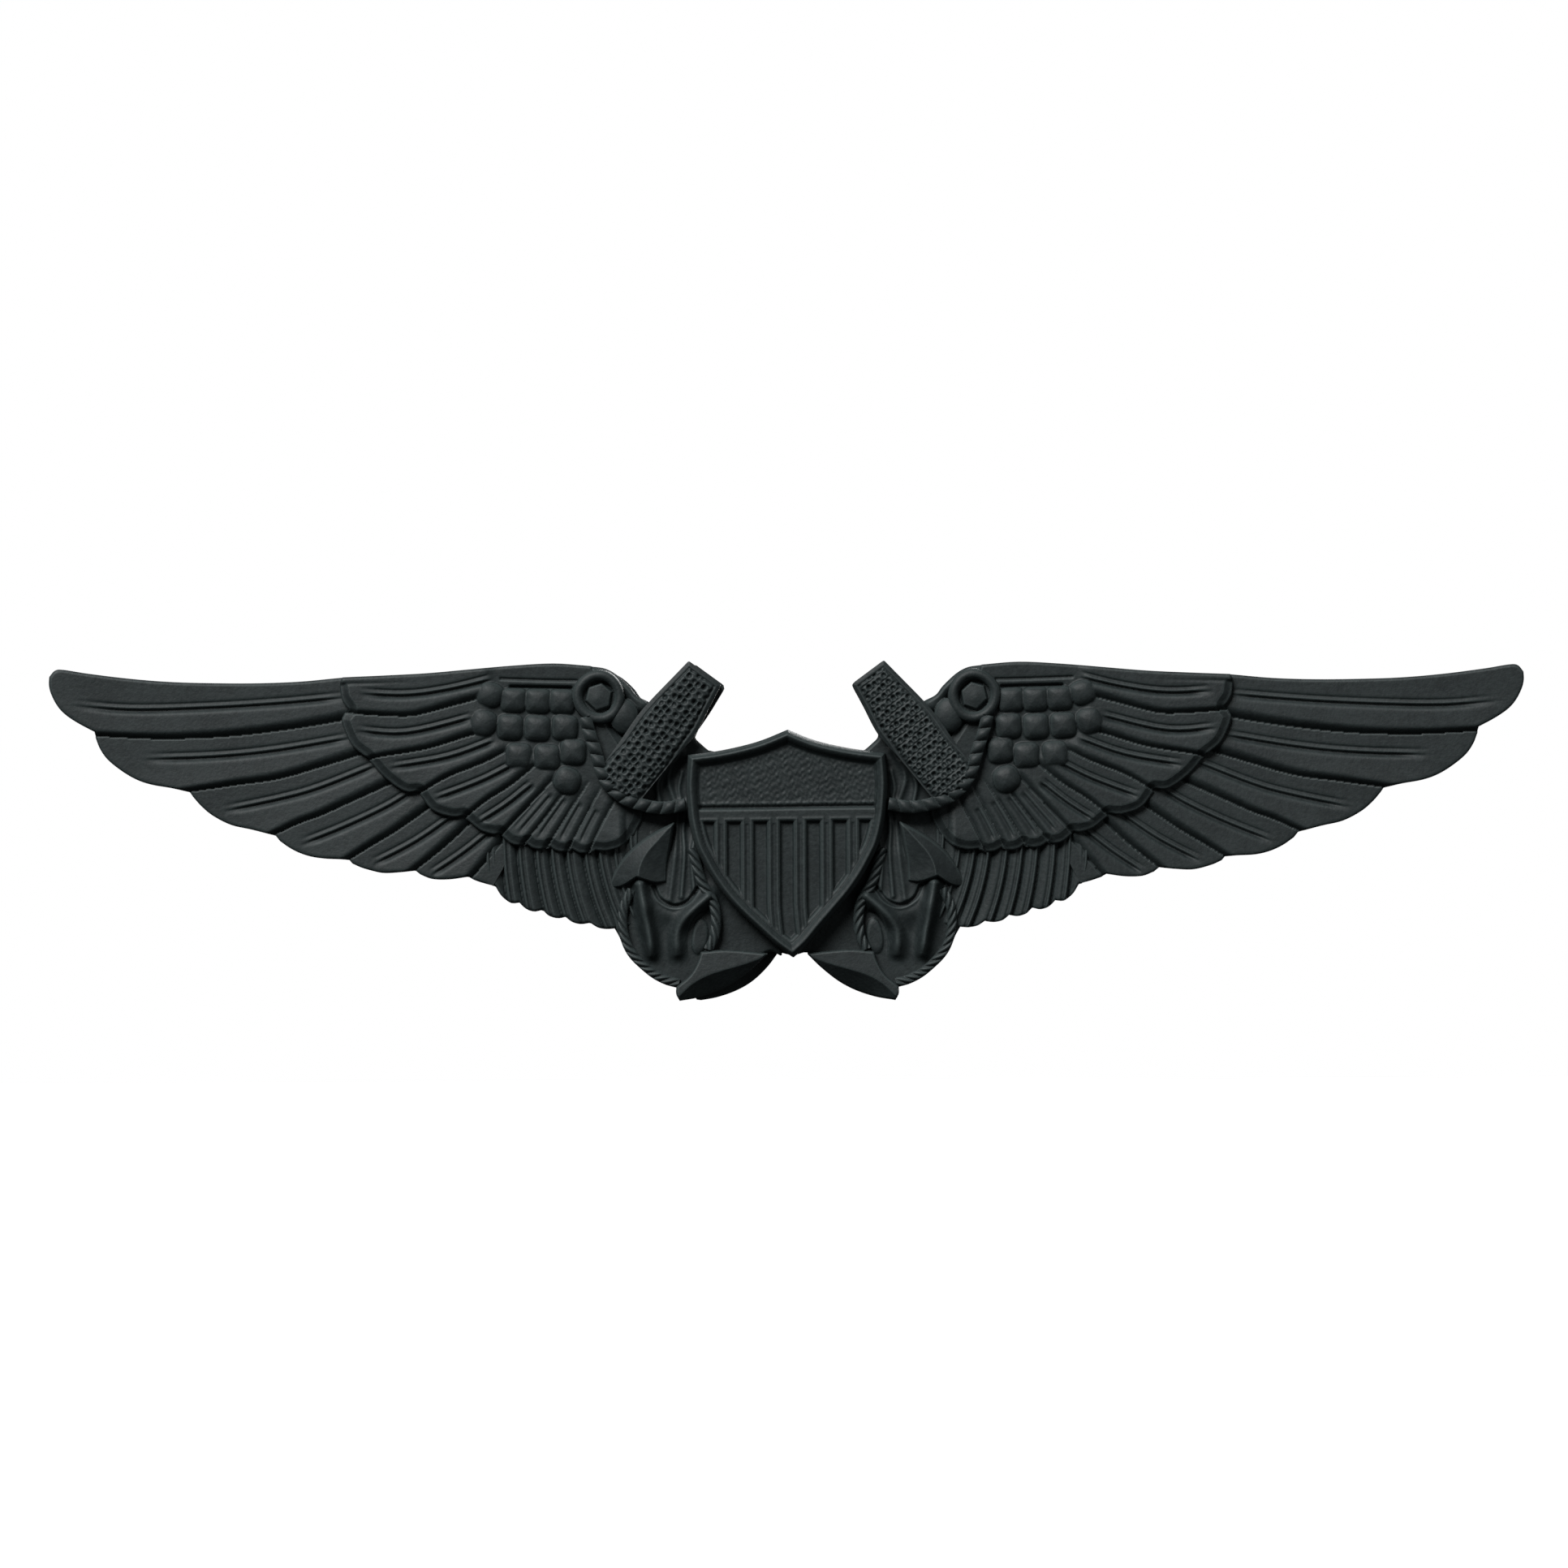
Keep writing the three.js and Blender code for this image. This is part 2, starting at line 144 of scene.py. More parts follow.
@dataclass(frozen=True)
class Line:
    """A line on the badge's face, open or closed, as points joined by straight steps."""

    points: np.ndarray

    @classmethod
    def through(cls, *strokes: Sequence[Point], per_span: int = 5) -> "Line":
        """A line made of rounded strokes that meet at corners.

        Args:
            strokes: each a list of points that a smooth curve passes through.
            per_span: how many samples each span gets.

        Returns:
            The line.
        """
        parts = [rounded(stroke, per_span) for stroke in strokes]
        points = np.vstack(parts)
        keep = np.r_[True, np.hypot(*np.diff(points, axis=0).T) > 1e-6]
        return cls(points[keep])

    def extended(self, start: float, end: float) -> "Line":
        """The line with a straight run added at each end.

        Args:
            start: the length of the run before the first point.
            end: the length of the run after the last one.

        Returns:
            The longer line.
        """
        first = self.points[0] - self.points[1]
        last = self.points[-1] - self.points[-2]
        before = self.points[0] + first / np.hypot(*first) * start
        after = self.points[-1] + last / np.hypot(*last) * end
        return Line(np.vstack([before, self.points, after]))

    def moved(self, x: float, z: float) -> "Line":
        """The line shifted by x and z."""
        return Line(self.points + np.array([x, z]))

    def with_mirror(self) -> "Line":
        """This half outline, from the top middle to the bottom middle, joined to its mirror image."""
        other = self.points[::-1] * np.array([-1, 1])
        both = np.vstack([self.points, other])
        keep = np.r_[True, np.hypot(*np.diff(both, axis=0).T) > 1e-6]
        return Line(both[keep])

    def locate(self, x: np.ndarray, z: np.ndarray, reach: float = math.inf) -> Found:
        """Find where points lie from the line.

        For each straight step, a point's nearest place is its shadow on the step, kept between the two ends.
        The nearest of all steps wins. The sign is that of the cross product of step and way to the point.

        Args:
            x: the points' first coordinate.
            z: the points' second coordinate.
            reach: points further away than this may be left as far away.

        Returns:
            What was found, in the shape of x.
        """
        low = self.points.min(0) - reach
        high = self.points.max(0) + reach
        near = (x > low[0]) & (x < high[0]) & (z > low[1]) & (z < high[1])
        px, pz = x[near], z[near]
        best = np.full(px.shape, np.inf)
        side, along = np.ones(px.shape), np.zeros(px.shape)
        foot_x, foot_z = np.zeros(px.shape), np.zeros(px.shape)
        steps = np.diff(self.points, axis=0)
        runs = np.hypot(*steps.T)
        starts = np.r_[0, np.cumsum(runs)[:-1]]
        for (ax, az), (ex, ez), run, start in zip(self.points[:-1], steps, runs, starts):
            t = np.clip(((px - ax) * ex + (pz - az) * ez) / run**2, 0, 1)
            fx, fz = ax + t * ex, az + t * ez
            dx, dz = px - fx, pz - fz
            gap = dx * dx + dz * dz
            closer = gap < best
            best[closer] = gap[closer]
            side[closer] = (ex * dz - ez * dx)[closer]
            along[closer] = (start + t * run)[closer]
            foot_x[closer] = fx[closer]
            foot_z[closer] = fz[closer]
        offset = np.full(x.shape, 1e3)
        offset[near] = np.sqrt(best) * np.where(side < 0, -1, 1)
        share = np.zeros(x.shape)
        share[near] = along / runs.sum()
        foot = np.zeros((2,) + x.shape)
        foot[0][near], foot[1][near] = foot_x, foot_z
        return Found(offset, share, foot)

    def holds(self, x: np.ndarray, z: np.ndarray) -> np.ndarray:
        """Whether points lie inside this closed line: a ray to the right crosses it an odd number of times.

        Args:
            x: the points' first coordinate.
            z: the points' second coordinate.

        Returns:
            True inside and False outside, in the shape of x.
        """
        inside = np.zeros(x.shape, bool)
        ends = np.roll(self.points, -1, axis=0)
        for (ax, az), (bx, bz) in zip(self.points, ends):
            if az == bz:
                continue
            crosses = (az > z) != (bz > z)
            inside ^= crosses & (x < ax + (z - az) / (bz - az) * (bx - ax))
        return inside

    def inset(self, x: np.ndarray, z: np.ndarray) -> tuple[np.ndarray, np.ndarray]:
        """How far inside this closed line points lie, negative outside, and the nearest points on it."""
        ring = Line(np.vstack([self.points, self.points[:1]]))
        found = ring.locate(x, z)
        return np.where(self.holds(x, z), found.distance, -found.distance), found.foot


# ------------------------------------------------------------ meshes


@dataclass
class Shell:
    """One closed mesh: points in millimetres, four-sided faces, end caps, and what each point carries."""

    points: np.ndarray
    quads: np.ndarray
    caps: list[np.ndarray] = field(default_factory=list)
    rim: np.ndarray | None = None
    # Per-point ridge value: the material lightens ridges with it, as rubbed wear and as a painted highlight.
    wear_and_highlight: np.ndarray | None = None
    flat_from: int | None = None

    def mirrored(self) -> "Shell":
        """The shell on the other side of the badge, with its faces turned so that they still point out."""
        points = self.points * np.array([-1, 1, 1])
        caps = [cap[::-1] for cap in self.caps]
        return Shell(points, self.quads[:, ::-1], caps, self.rim, self.wear_and_highlight, self.flat_from)

    def turned_back(self) -> "Shell":
        """The shell with front and back changed over, so that its relief points away from the face."""
        points = self.points * np.array([1, -1, 1])
        return Shell(points, self.quads[:, ::-1], self.caps, self.rim, self.wear_and_highlight, self.flat_from)

    def on(self, side: Side) -> "Shell":
        """The shell on the given side, from one that is drawn on the right."""
        return self if side is Side.RIGHT else self.mirrored()

    def joined(self, other: "Shell") -> "Shell":
        """Both shells as one mesh, with every face smooth."""
        shift = len(self.points)
        caps = self.caps + [cap + shift for cap in other.caps]
        points = np.vstack([self.points, other.points])
        quads = np.vstack([self.quads, other.quads + shift])
        return Shell(points, quads, caps)


def settled(points: np.ndarray) -> np.ndarray:
    """Shift the struck face a little, as on the real die, where the two halves aren't quite alike.

    The right half stands 0.04 mm higher than the middle, and the left half 0.04 mm lower. Round the wings'
    shoulders that is a further 0.13 mm, in a bell about x = 12 that fades out below the upper edge and above
    the lower one. Sideways, the lower middle leans right by 0.4 mm, growing smoothly below z = -2.5, the
    stocks by 0.13 mm, and the lower edges of the wings by 0.08 mm.

    Args:
        points: rows of x, y and z.

    Returns:
        The shifted rows.
    """
    out = points.copy()
    x, z = points[:, 0], points[:, 2]
    across = np.abs(x)
    shoulder = bell((across - 12) / 3.5) * smooth((7.7 - z) / 0.8) * smooth((z + 1) / 2)
    middle = smooth((-2.5 - z) / 4.5) * smooth((7.2 - across) / 2)
    stock = smooth((z - 4.5) / 2) * smooth((9.5 - across) / 2)
    tips = smooth((across - 18) / 4) * smooth(7.2 - z)
    out[:, 0] = x + 0.4 * middle + 0.13 * stock + 0.08 * tips
    out[:, 2] = z + 0.04 * np.tanh(x / 3) + 0.13 * np.sign(x) * shoulder
    return out


Height = Callable[[np.ndarray, np.ndarray, np.ndarray], np.ndarray]


@dataclass(frozen=True)
class Relief:
    """A closed solid whose front is a height over the badge's face, inside an outline.

    The front is a square grid. Its cells are kept where their middle is inside the outline by a small share
    of a step, and the points on the border are pulled onto the outline. Walls join the border to a flat
    underside on the same grid, this far in front of the back. Shrink moves the border in from the outline.
    """

    outline: Line
    height: Height
    foot: float = 0.3
    step: float = 0.05
    shrink: float = 0.0
    least_share: float = 0.12

    def shell(self) -> Shell:
        """Work the solid out.

        Returns:
            The shell, with the rim points marked and a value that is high on ridges, which the material uses
            for rubbed wear and a painted highlight.
        """
        step = self.step
        low = self.outline.points.min(0) - step
        high = self.outline.points.max(0) + step
        across = np.arange(low[0], high[0] + step, step)
        up = np.arange(low[1], high[1] + step, step)
        x, z = np.meshgrid(across, up, indexing="ij")
        inset, foot = self.outline.inset(x, z)
        inset = inset - self.shrink
        middle = (inset[:-1, :-1] + inset[1:, :-1] + inset[:-1, 1:] + inset[1:, 1:]) / 4
        kept = middle > self.least_share * step
        count = np.zeros(x.shape, int)
        for i, j in ((0, 0), (1, 0), (0, 1), (1, 1)):
            count[i : i + kept.shape[0], j : j + kept.shape[1]] += kept
        used = count > 0
        border = used & (count < 4)
        toward = np.where(border, np.sign(inset + self.shrink), 0)
        gap = np.maximum(np.hypot(x - foot[0], z - foot[1]), 1e-6)
        x = np.where(border, foot[0] + toward * (x - foot[0]) / gap * self.shrink, x)
        z = np.where(border, foot[1] + toward * (z - foot[1]) / gap * self.shrink, z)
        inset = np.where(border, 0, np.maximum(inset, 0))
        height = self.height(x, z, inset)
        number = np.full(x.shape, -1)
        number[used] = np.arange(used.sum())
        size = int(used.sum())
        front = np.stack([x[used], -height[used], z[used]], 1)
        back = np.stack([x[used], np.full(size, -self.foot), z[used]], 1)
        quads = self._quads(kept, number, size)
        # High on ridges; the material lightens these as rubbed wear and as a painted highlight.
        wear_and_highlight = np.r_[self._ridges(height, used), np.zeros(size)]
        rim = np.r_[border[used], np.ones(size, bool)]
        return Shell(settled(np.vstack([front, back])), quads, [], rim, wear_and_highlight, int(kept.sum()))

    @staticmethod
    def _quads(kept: np.ndarray, number: np.ndarray, size: int) -> np.ndarray:
        """The faces: the front first, then the underside turned round, then one wall per open cell side.

        Args:
            kept: which cells of the grid are kept.
            number: each grid point's number on the front, or -1.
            size: how many points the front has.

        Returns:
            Four point numbers for each face.
        """
        i, j = np.nonzero(kept)
        a, b, c, d = number[i, j], number[i + 1, j], number[i + 1, j + 1], number[i, j + 1]
        front = np.stack([a, b, c, d], 1)
        padded = np.pad(kept, 1)
        walls = []
        for (di, dj), start, end in (((0, -1), a, b), ((1, 0), b, c), ((0, 1), c, d), ((-1, 0), d, a)):
            open_side = ~padded[i + 1 + di, j + 1 + dj]
            p, q = start[open_side], end[open_side]
            walls.append(np.stack([q, p, p + size, q + size], 1))
        return np.vstack([front, front[:, ::-1] + size, *walls])

    def _ridges(self, height: np.ndarray, used: np.ndarray) -> np.ndarray:
        """How sharply the front bulges: the height less the mean of its four neighbours, over the step."""
        around = np.pad(height, 1, mode="edge")
        mean = (around[:-2, 1:-1] + around[2:, 1:-1] + around[1:-1, :-2] + around[1:-1, 2:]) / 4
        return np.clip((height - mean) / self.step, -1, 1)[used]


def tube(path: np.ndarray, radius: float, sides: int) -> Shell:
    """Carry a circle along a path that keeps the same y.

    At each point of the path the circle's two directions are square to the path: one lies in the badge's
    plane and the other points out of it.

    Args:
        path: the points to follow, as rows of x, y and z.
        radius: the circle's radius.
        sides: how many points each circle has.

    Returns:
        The tube, with a flat cap at each end.
    """
    way = np.gradient(path, axis=0)
    way /= np.linalg.norm(way, axis=1)[:, None]
    across = np.cross(way, np.array([0.0, 1.0, 0.0]))
    across /= np.linalg.norm(across, axis=1)[:, None]
    out = np.cross(across, way)
    angle = (np.arange(sides) / sides * 2 * math.pi)[:, None]
    ring = path[:, None] + radius * (np.cos(angle) * across[:, None] + np.sin(angle) * out[:, None])
    rows = len(path)
    i, j = np.meshgrid(np.arange(rows - 1), np.arange(sides), indexing="ij")
    here, there = i * sides + j, i * sides + (j + 1) % sides
    quads = np.stack([here, here + sides, there + sides, there], -1).reshape(-1, 4)
    first, last = np.arange(sides), (rows - 1) * sides + np.arange(sides)
    return Shell(ring.reshape(-1, 3), quads, [first, last[::-1]])


def softened(corners: Sequence[Point], radius: float, ring: bool, steps: int = 4) -> np.ndarray:
    """Round the corners of a profile.

    Each corner is replaced by the parabola between the places this far before and after it, or half-way along
    the step where that is nearer: (1 - t)^2 of the first, 2 t (1 - t) of the corner and t^2 of the last.

    Args:
        corners: rows of radius and y.
        radius: how far from a corner the rounding starts.
        ring: whether the profile is a closed ring; if not, its two ends stay as they are.
        steps: how many steps round a corner.

    Returns:
        The rounded profile.
    """
    p = np.asarray(corners, float)
    before, after = np.roll(p, 1, 0) - p, np.roll(p, -1, 0) - p
    reach = [np.minimum(radius, np.hypot(*step.T) / 2) / np.hypot(*step.T) for step in (before, after)]
    start, end = p + before * reach[0][:, None], p + after * reach[1][:, None]
    t = np.linspace(0, 1, steps + 1)[:, None, None]
    curve = ((1 - t) ** 2 * start + 2 * t * (1 - t) * p + t**2 * end).transpose(1, 0, 2)
    profile = curve.reshape(-1, 2) if ring else np.vstack([p[:1], curve[1:-1].reshape(-1, 2), p[-1:]])
    return profile[np.hypot(*(profile - np.roll(profile, 1, 0)).T) > 1e-6]


def turned(profile: np.ndarray, middle: Point, ring: bool, wobble: float = 0.0, sides: int = 64) -> Shell:
    """Turn a profile about an axis along y.

    At angle a, the radius is the profile's times 1 + wobble * (sin(3a + 1) + sin(5a) / 2 + sin(8a + 2) / 3).

    Args:
        profile: rows of radius and y, with y rising along the outside.
        middle: x and z of the axis.
        ring: whether the profile is a closed ring; if not, a cap closes each end.
        wobble: how uneven the radius is.
        sides: how many steps make the full turn.

    Returns:
        The solid of revolution.
    """
    angle = np.arange(sides) / sides * 2 * math.pi
    uneven = 1 + wobble * (np.sin(3 * angle + 1) + np.sin(5 * angle) / 2 + np.sin(8 * angle + 2) / 3)
    radius, y = profile[:, :1] * uneven, profile[:, 1:]
    x = middle[0] + radius * np.cos(angle)
    z = middle[1] + radius * np.sin(angle)
    points = np.stack([x, np.broadcast_to(y, x.shape), z], -1).reshape(-1, 3)
    rows = len(profile)
    i, j = np.meshgrid(np.arange(rows if ring else rows - 1), np.arange(sides), indexing="ij")
    here, there, after = i * sides, (i + 1) % rows * sides, (j + 1) % sides
    quads = np.stack([here + j, there + j, there + after, here + after], -1).reshape(-1, 4)
    ends = [] if ring else [np.arange(sides), ((rows - 1) * sides + np.arange(sides))[::-1]]
    return Shell(points, quads, ends)


def hand_over(piece: bpy.types.Object, body: str, node: str) -> None:
    """Link a piece to the scene and tell the frame where it belongs.

    Args:
        piece: the object.
        body: the CAD body that it rides on.
        node: the CAD node that it replaces.
    """
    bpy.context.scene.collection.objects.link(piece)
    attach(piece, body)
    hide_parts(node)
    mesh = piece.data
    log.info("%s: %d points, %d faces, on %s", piece.name, len(mesh.vertices), len(mesh.polygons), body)


def put(name: str, shell: Shell, body: str, finish: bpy.types.Material, node: str) -> None:
    """Make a shell an object of the scene and hand it to the frame.

    Args:
        name: the piece's name.
        shell: its mesh, in millimetres.
        body: the CAD body that it rides on.
        finish: its material.
        node: the CAD node that it replaces.
    """
    mesh = bpy.data.meshes.new(name)
    corners = np.concatenate([shell.quads.ravel(), *shell.caps]).astype(np.int32)
    sizes = np.r_[np.full(len(shell.quads), 4), [len(cap) for cap in shell.caps]].astype(np.int32)
    mesh.vertices.add(len(shell.points))
    mesh.vertices.foreach_set("co", (shell.points * MM).astype(np.float32).ravel())
    mesh.loops.add(len(corners))
    mesh.loops.foreach_set("vertex_index", corners)
    mesh.polygons.add(len(sizes))
    mesh.polygons.foreach_set("loop_start", np.r_[0, np.cumsum(sizes)[:-1]].astype(np.int32))
    mesh.update(calc_edges=True)
    soft = np.ones(len(sizes), bool)
    if shell.flat_from is not None:
        soft[shell.flat_from :] = False
    mesh.polygons.foreach_set("use_smooth", soft)
    if shell.rim is not None:
        ends = np.zeros(len(mesh.edges) * 2, np.int32)
        mesh.edges.foreach_get("vertices", ends)
        sharp = mesh.attributes.new("sharp_edge", "BOOLEAN", "EDGE")
        sharp.data.foreach_set("value", shell.rim[ends.reshape(-1, 2)].all(1))
    # The ridge value, read by the black finish for rubbed wear and a painted highlight on ridges.
    wear_and_highlight = mesh.attributes.new("wear_and_highlight", "FLOAT", "POINT")
    values = shell.wear_and_highlight if shell.wear_and_highlight is not None else np.zeros(len(shell.points))
    wear_and_highlight.data.foreach_set("value", values.astype(np.float32))
    mesh.materials.append(finish)
    hand_over(bpy.data.objects.new(name, mesh), body, node)


def put_struck(name: str, shell: Shell, finish: bpy.types.Material) -> None:
    """Make a shell a piece of the struck badge itself."""
    put(name, shell, "badge", finish, "badge_plate")


# ------------------------------------------------------------ shader maths


class Sock:
    """A shader socket that can be used in sums, products and comparisons."""

    def __init__(self, graph: "Graph", socket: bpy.types.NodeSocket) -> None:
        """Keep the graph and the socket."""
        self.graph = graph
        self.socket = socket

    def _math(self, operation: str, *values: "Sock | float") -> "Sock":
        """A Math node on these values."""
        return self.graph.node("ShaderNodeMath", {"operation": operation}, dict(enumerate(values)))

    def __add__(self, other: "Sock | float") -> "Sock":
        """Sum."""
        return self._math("ADD", self, other)

    __radd__ = __add__

    def __sub__(self, other: "Sock | float") -> "Sock":
        """Difference."""
        return self._math("SUBTRACT", self, other)

    def __rsub__(self, other: float) -> "Sock":
        """Difference from a number."""
        return self._math("SUBTRACT", other, self)

    def __mul__(self, other: "Sock | float") -> "Sock":
        """Product."""
        return self._math("MULTIPLY", self, other)

    __rmul__ = __mul__

    def clamped(self) -> "Sock":
        """The value kept between 0 and 1."""
        return self._math("MAXIMUM", self._math("MINIMUM", self, 1.0), 0.0)

    def between(self, low: float, high: float) -> "Sock":
        """0 at low and 1 at high, and smooth between."""
        settings = {"interpolation_type": "SMOOTHSTEP"}
        values = {"Value": self, "From Min": low, "From Max": high}
        return self.graph.node("ShaderNodeMapRange", settings, values)


class Graph:
    """The node tree of one material."""

    def __init__(self, name: str) -> None:
        """Make the material with an empty tree."""
        self.material = bpy.data.materials.new(name)
        self.material.use_nodes = True
        self.tree = self.material.node_tree
        self.tree.nodes.clear()

    def node(self, kind: str, settings: dict, values: dict, output: int | str = 0) -> Sock:
        """Add a node.

        Args:
            kind: the node's type.
            settings: properties, set first.
            values: what goes into its sockets, by name or number: a Sock is linked and anything else is set.
            output: which output to return.

        Returns:
            The chosen output.
        """
        made = self.tree.nodes.new(kind)
        for name, value in settings.items():
            setattr(made, name, value)
        for key, value in values.items():
            if isinstance(value, Sock):
                self.tree.links.new(value.socket, made.inputs[key])
            else:
                made.inputs[key].default_value = value
        return Sock(self, made.outputs[output])

    def place(self) -> Sock:
        """Object coordinates, in metres."""
        return self.node("ShaderNodeTexCoord", {}, {}, "Object")

    def noise(self, scale: float, detail: float = 3.0, roughness: float = 0.55) -> Sock:
        """Noise on object coordinates, where scale counts its features per millimetre."""
        values = {"Vector": self.place(), "Scale": scale / MM, "Detail": detail, "Roughness": roughness}
        return self.node("ShaderNodeTexNoise", {}, values, "Fac")

    def blend(self, share: "Sock | float", first: object, second: object) -> Sock:
        """A mix of two colours: the first where share is 0 and the second where it is 1."""
        return self.node("ShaderNodeMix", {"data_type": "RGBA"}, {0: share, 6: first, 7: second}, 2)

    def attribute(self, name: str) -> Sock:
        """A number that each point of the mesh carries."""
        return self.node("ShaderNodeAttribute", {"attribute_name": name}, {}, "Fac")

    def bump(self, height: Sock, depth: float, strength: float, base: "Sock | None" = None) -> Sock:
        """A bump of this depth in millimetres, on top of another one if given."""
        values = {"Height": height, "Distance": depth * MM, "Strength": strength}
        if base is not None:
            values["Normal"] = base
        return self.node("ShaderNodeBump", {}, values)

    def surface(self, values: dict) -> bpy.types.Material:
        """Finish the material with a Principled shader.

        Args:
            values: what goes into the shader's sockets, by name.

        Returns:
            The material.
        """
        shader = self.node("ShaderNodeBsdfPrincipled", {}, values)
        end = self.tree.nodes.new("ShaderNodeOutputMaterial")
        self.tree.links.new(shader.socket, end.inputs["Surface"])
        return self.material


Colour = tuple[float, float, float, float]


@dataclass(frozen=True)
class BlackFinish:
    """Satin black over struck metal: dark grey with a fine grain, lighter on ridges as rubbed wear and as a
    painted highlight.

    Three noises lie over each other: a fine grain, a mottle and wide patches. Few specks are lighter still.
    """

    name: str = "satin_black"
    deep: Colour = (0.0115, 0.0165, 0.0172, 1)
    dusty: Colour = (0.0195, 0.0268, 0.0275, 1)
    # Lighter grey for specks and rubbed ridges; on ridges it is also a painted highlight.
    rubbed_and_highlight: Colour = (0.046, 0.060, 0.060, 1)
    grain_per_mm: float = 6.5
    mottle_per_mm: float = 3.2
    patch_per_mm: float = 0.5
    speck_per_mm: float = 3.1
    roughness: float = 0.58
    gloss: float = 0.34
    bump_depth: float = 0.022
    bump_strength: float = 0.8

    def material(self) -> bpy.types.Material:
        """Build the material.

        Returns:
            The material.
        """
        graph = Graph(self.name)
        grain = graph.noise(self.grain_per_mm, 4)
        mottle = graph.noise(self.mottle_per_mm, 2)
        patch = graph.noise(self.patch_per_mm, 3)
        # Ridges lightened as rubbed wear and as a painted highlight.
        ridge = graph.attribute("wear_and_highlight").between(0.02, 0.16)
        speck = graph.noise(self.speck_per_mm, 1).between(0.74, 0.80)
        cloud = (patch * 0.35 + grain * 0.25 + mottle * 0.4).between(0.38, 0.62)
        dust = graph.blend(cloud, self.deep, self.dusty)
        colour = graph.blend((ridge * 0.55 + speck * 0.25).clamped(), dust, self.rubbed_and_highlight)
        rough = self.roughness + (grain - 0.5) * 0.16 + (patch - 0.5) * 0.12
        normal = graph.bump(grain, self.bump_depth, self.bump_strength)
        return graph.surface(
            {"Base Color": colour, "Roughness": rough, "Normal": normal, "Specular IOR Level": self.gloss}
        )


@dataclass(frozen=True)
class MetalFinish:
    """Bare metal: sheet, wire or solder, with tarnish in patches and a rolled or frosted grain."""

    name: str
    bright: Colour
    dull: Colour
    roughness: float
    grain_per_mm: float
    tarnish_per_mm: float
    frost: float

    def material(self) -> bpy.types.Material:
        """Build the material.

        Returns:
            The material.
        """
        graph = Graph(self.name)
        grain = graph.noise(self.grain_per_mm, 4)
        stain = graph.noise(self.tarnish_per_mm, 4, 0.6)
        colour = graph.blend(stain.between(0.42, 0.68), self.bright, self.dull)
        rough = self.roughness + (grain - 0.5) * 0.2 + stain.between(0.45, 0.7) * 0.15
        normal = graph.bump(grain, 0.01, self.frost)
        return graph.surface({"Base Color": colour, "Roughness": rough, "Normal": normal, "Metallic": 1.0})


BRASS = MetalFinish(
    name="stamped_brass",
    bright=(0.74, 0.52, 0.22, 1),
    dull=(0.42, 0.28, 0.12, 1),
    roughness=0.32,
    grain_per_mm=6.0,
    tarnish_per_mm=0.5,
    frost=0.1,
)
SOLDER = MetalFinish(
    name="dull_solder",
    bright=(0.42, 0.43, 0.44, 1),
    dull=(0.2, 0.2, 0.21, 1),
    roughness=0.42,
    grain_per_mm=4.0,
    tarnish_per_mm=1.2,
    frost=0.5,
)
STEEL = MetalFinish(
    name="spring_wire",
    bright=(0.6, 0.62, 0.64, 1),
    dull=(0.35, 0.34, 0.33, 1),
    roughness=0.28,
    grain_per_mm=10.0,
    tarnish_per_mm=0.9,
    frost=0.2,
)


@dataclass(frozen=True)
class Finishes:
    """All the finishes of the badge, made once."""

    black: bpy.types.Material = field(default_factory=BlackFinish().material)
    brass: bpy.types.Material = field(default_factory=BRASS.material)
    solder: bpy.types.Material = field(default_factory=SOLDER.material)
    steel: bpy.types.Material = field(default_factory=STEEL.material)


# ------------------------------------------------------------ feathers


@dataclass(frozen=True)
class FeatherRow:
    """A row of feathers that overlap like tiles.

    Feather i lies between border i and border i + 1. With t going from 0 at its upper border to 1 at its
    lower one, its height is the base plus the rise times a web, which climbs evenly and a little faster after
    the quill. Close to the lower border the height rolls off, as a quarter sine, onto the next feather.
    """

    borders: list[Line]
    base: float
    rise: float
    roll_root: float
    roll_tip: float
    lip: float = 0.2
    quill_at: float = 0.5
    full_width: float = 1.3

    def height(self, x: np.ndarray, z: np.ndarray) -> np.ndarray:
        """The height of the row over the face. A feather narrower than the full width stands lower.

        Args:
            x: first coordinate.
            z: second coordinate.

        Returns:
            The height.
        """
        found = [border.locate(x, z) for border in self.borders]
        out = np.full(x.shape, self.base)
        for above, below in zip(found[:-1], found[1:]):
            inside = (above.offset <= 0) & (below.offset > 0)
            up, low = np.maximum(-above.offset, 0), np.maximum(below.offset, 0)
            t = up / (up + low + 1e-6)
            web = 0.7 * t + 0.3 * np.clip((t - self.quill_at) / (1 - self.quill_at), 0, 1) ** 1.3
            size = np.clip((up + low) / self.full_width, 0.35, 1)
            roll = self.roll_root + (self.roll_tip - self.roll_root) * below.along
            raised = self.base + (self.rise * web + self.lip) * size * crest(low / roll)
            out = np.where(inside, raised, out)
        return out


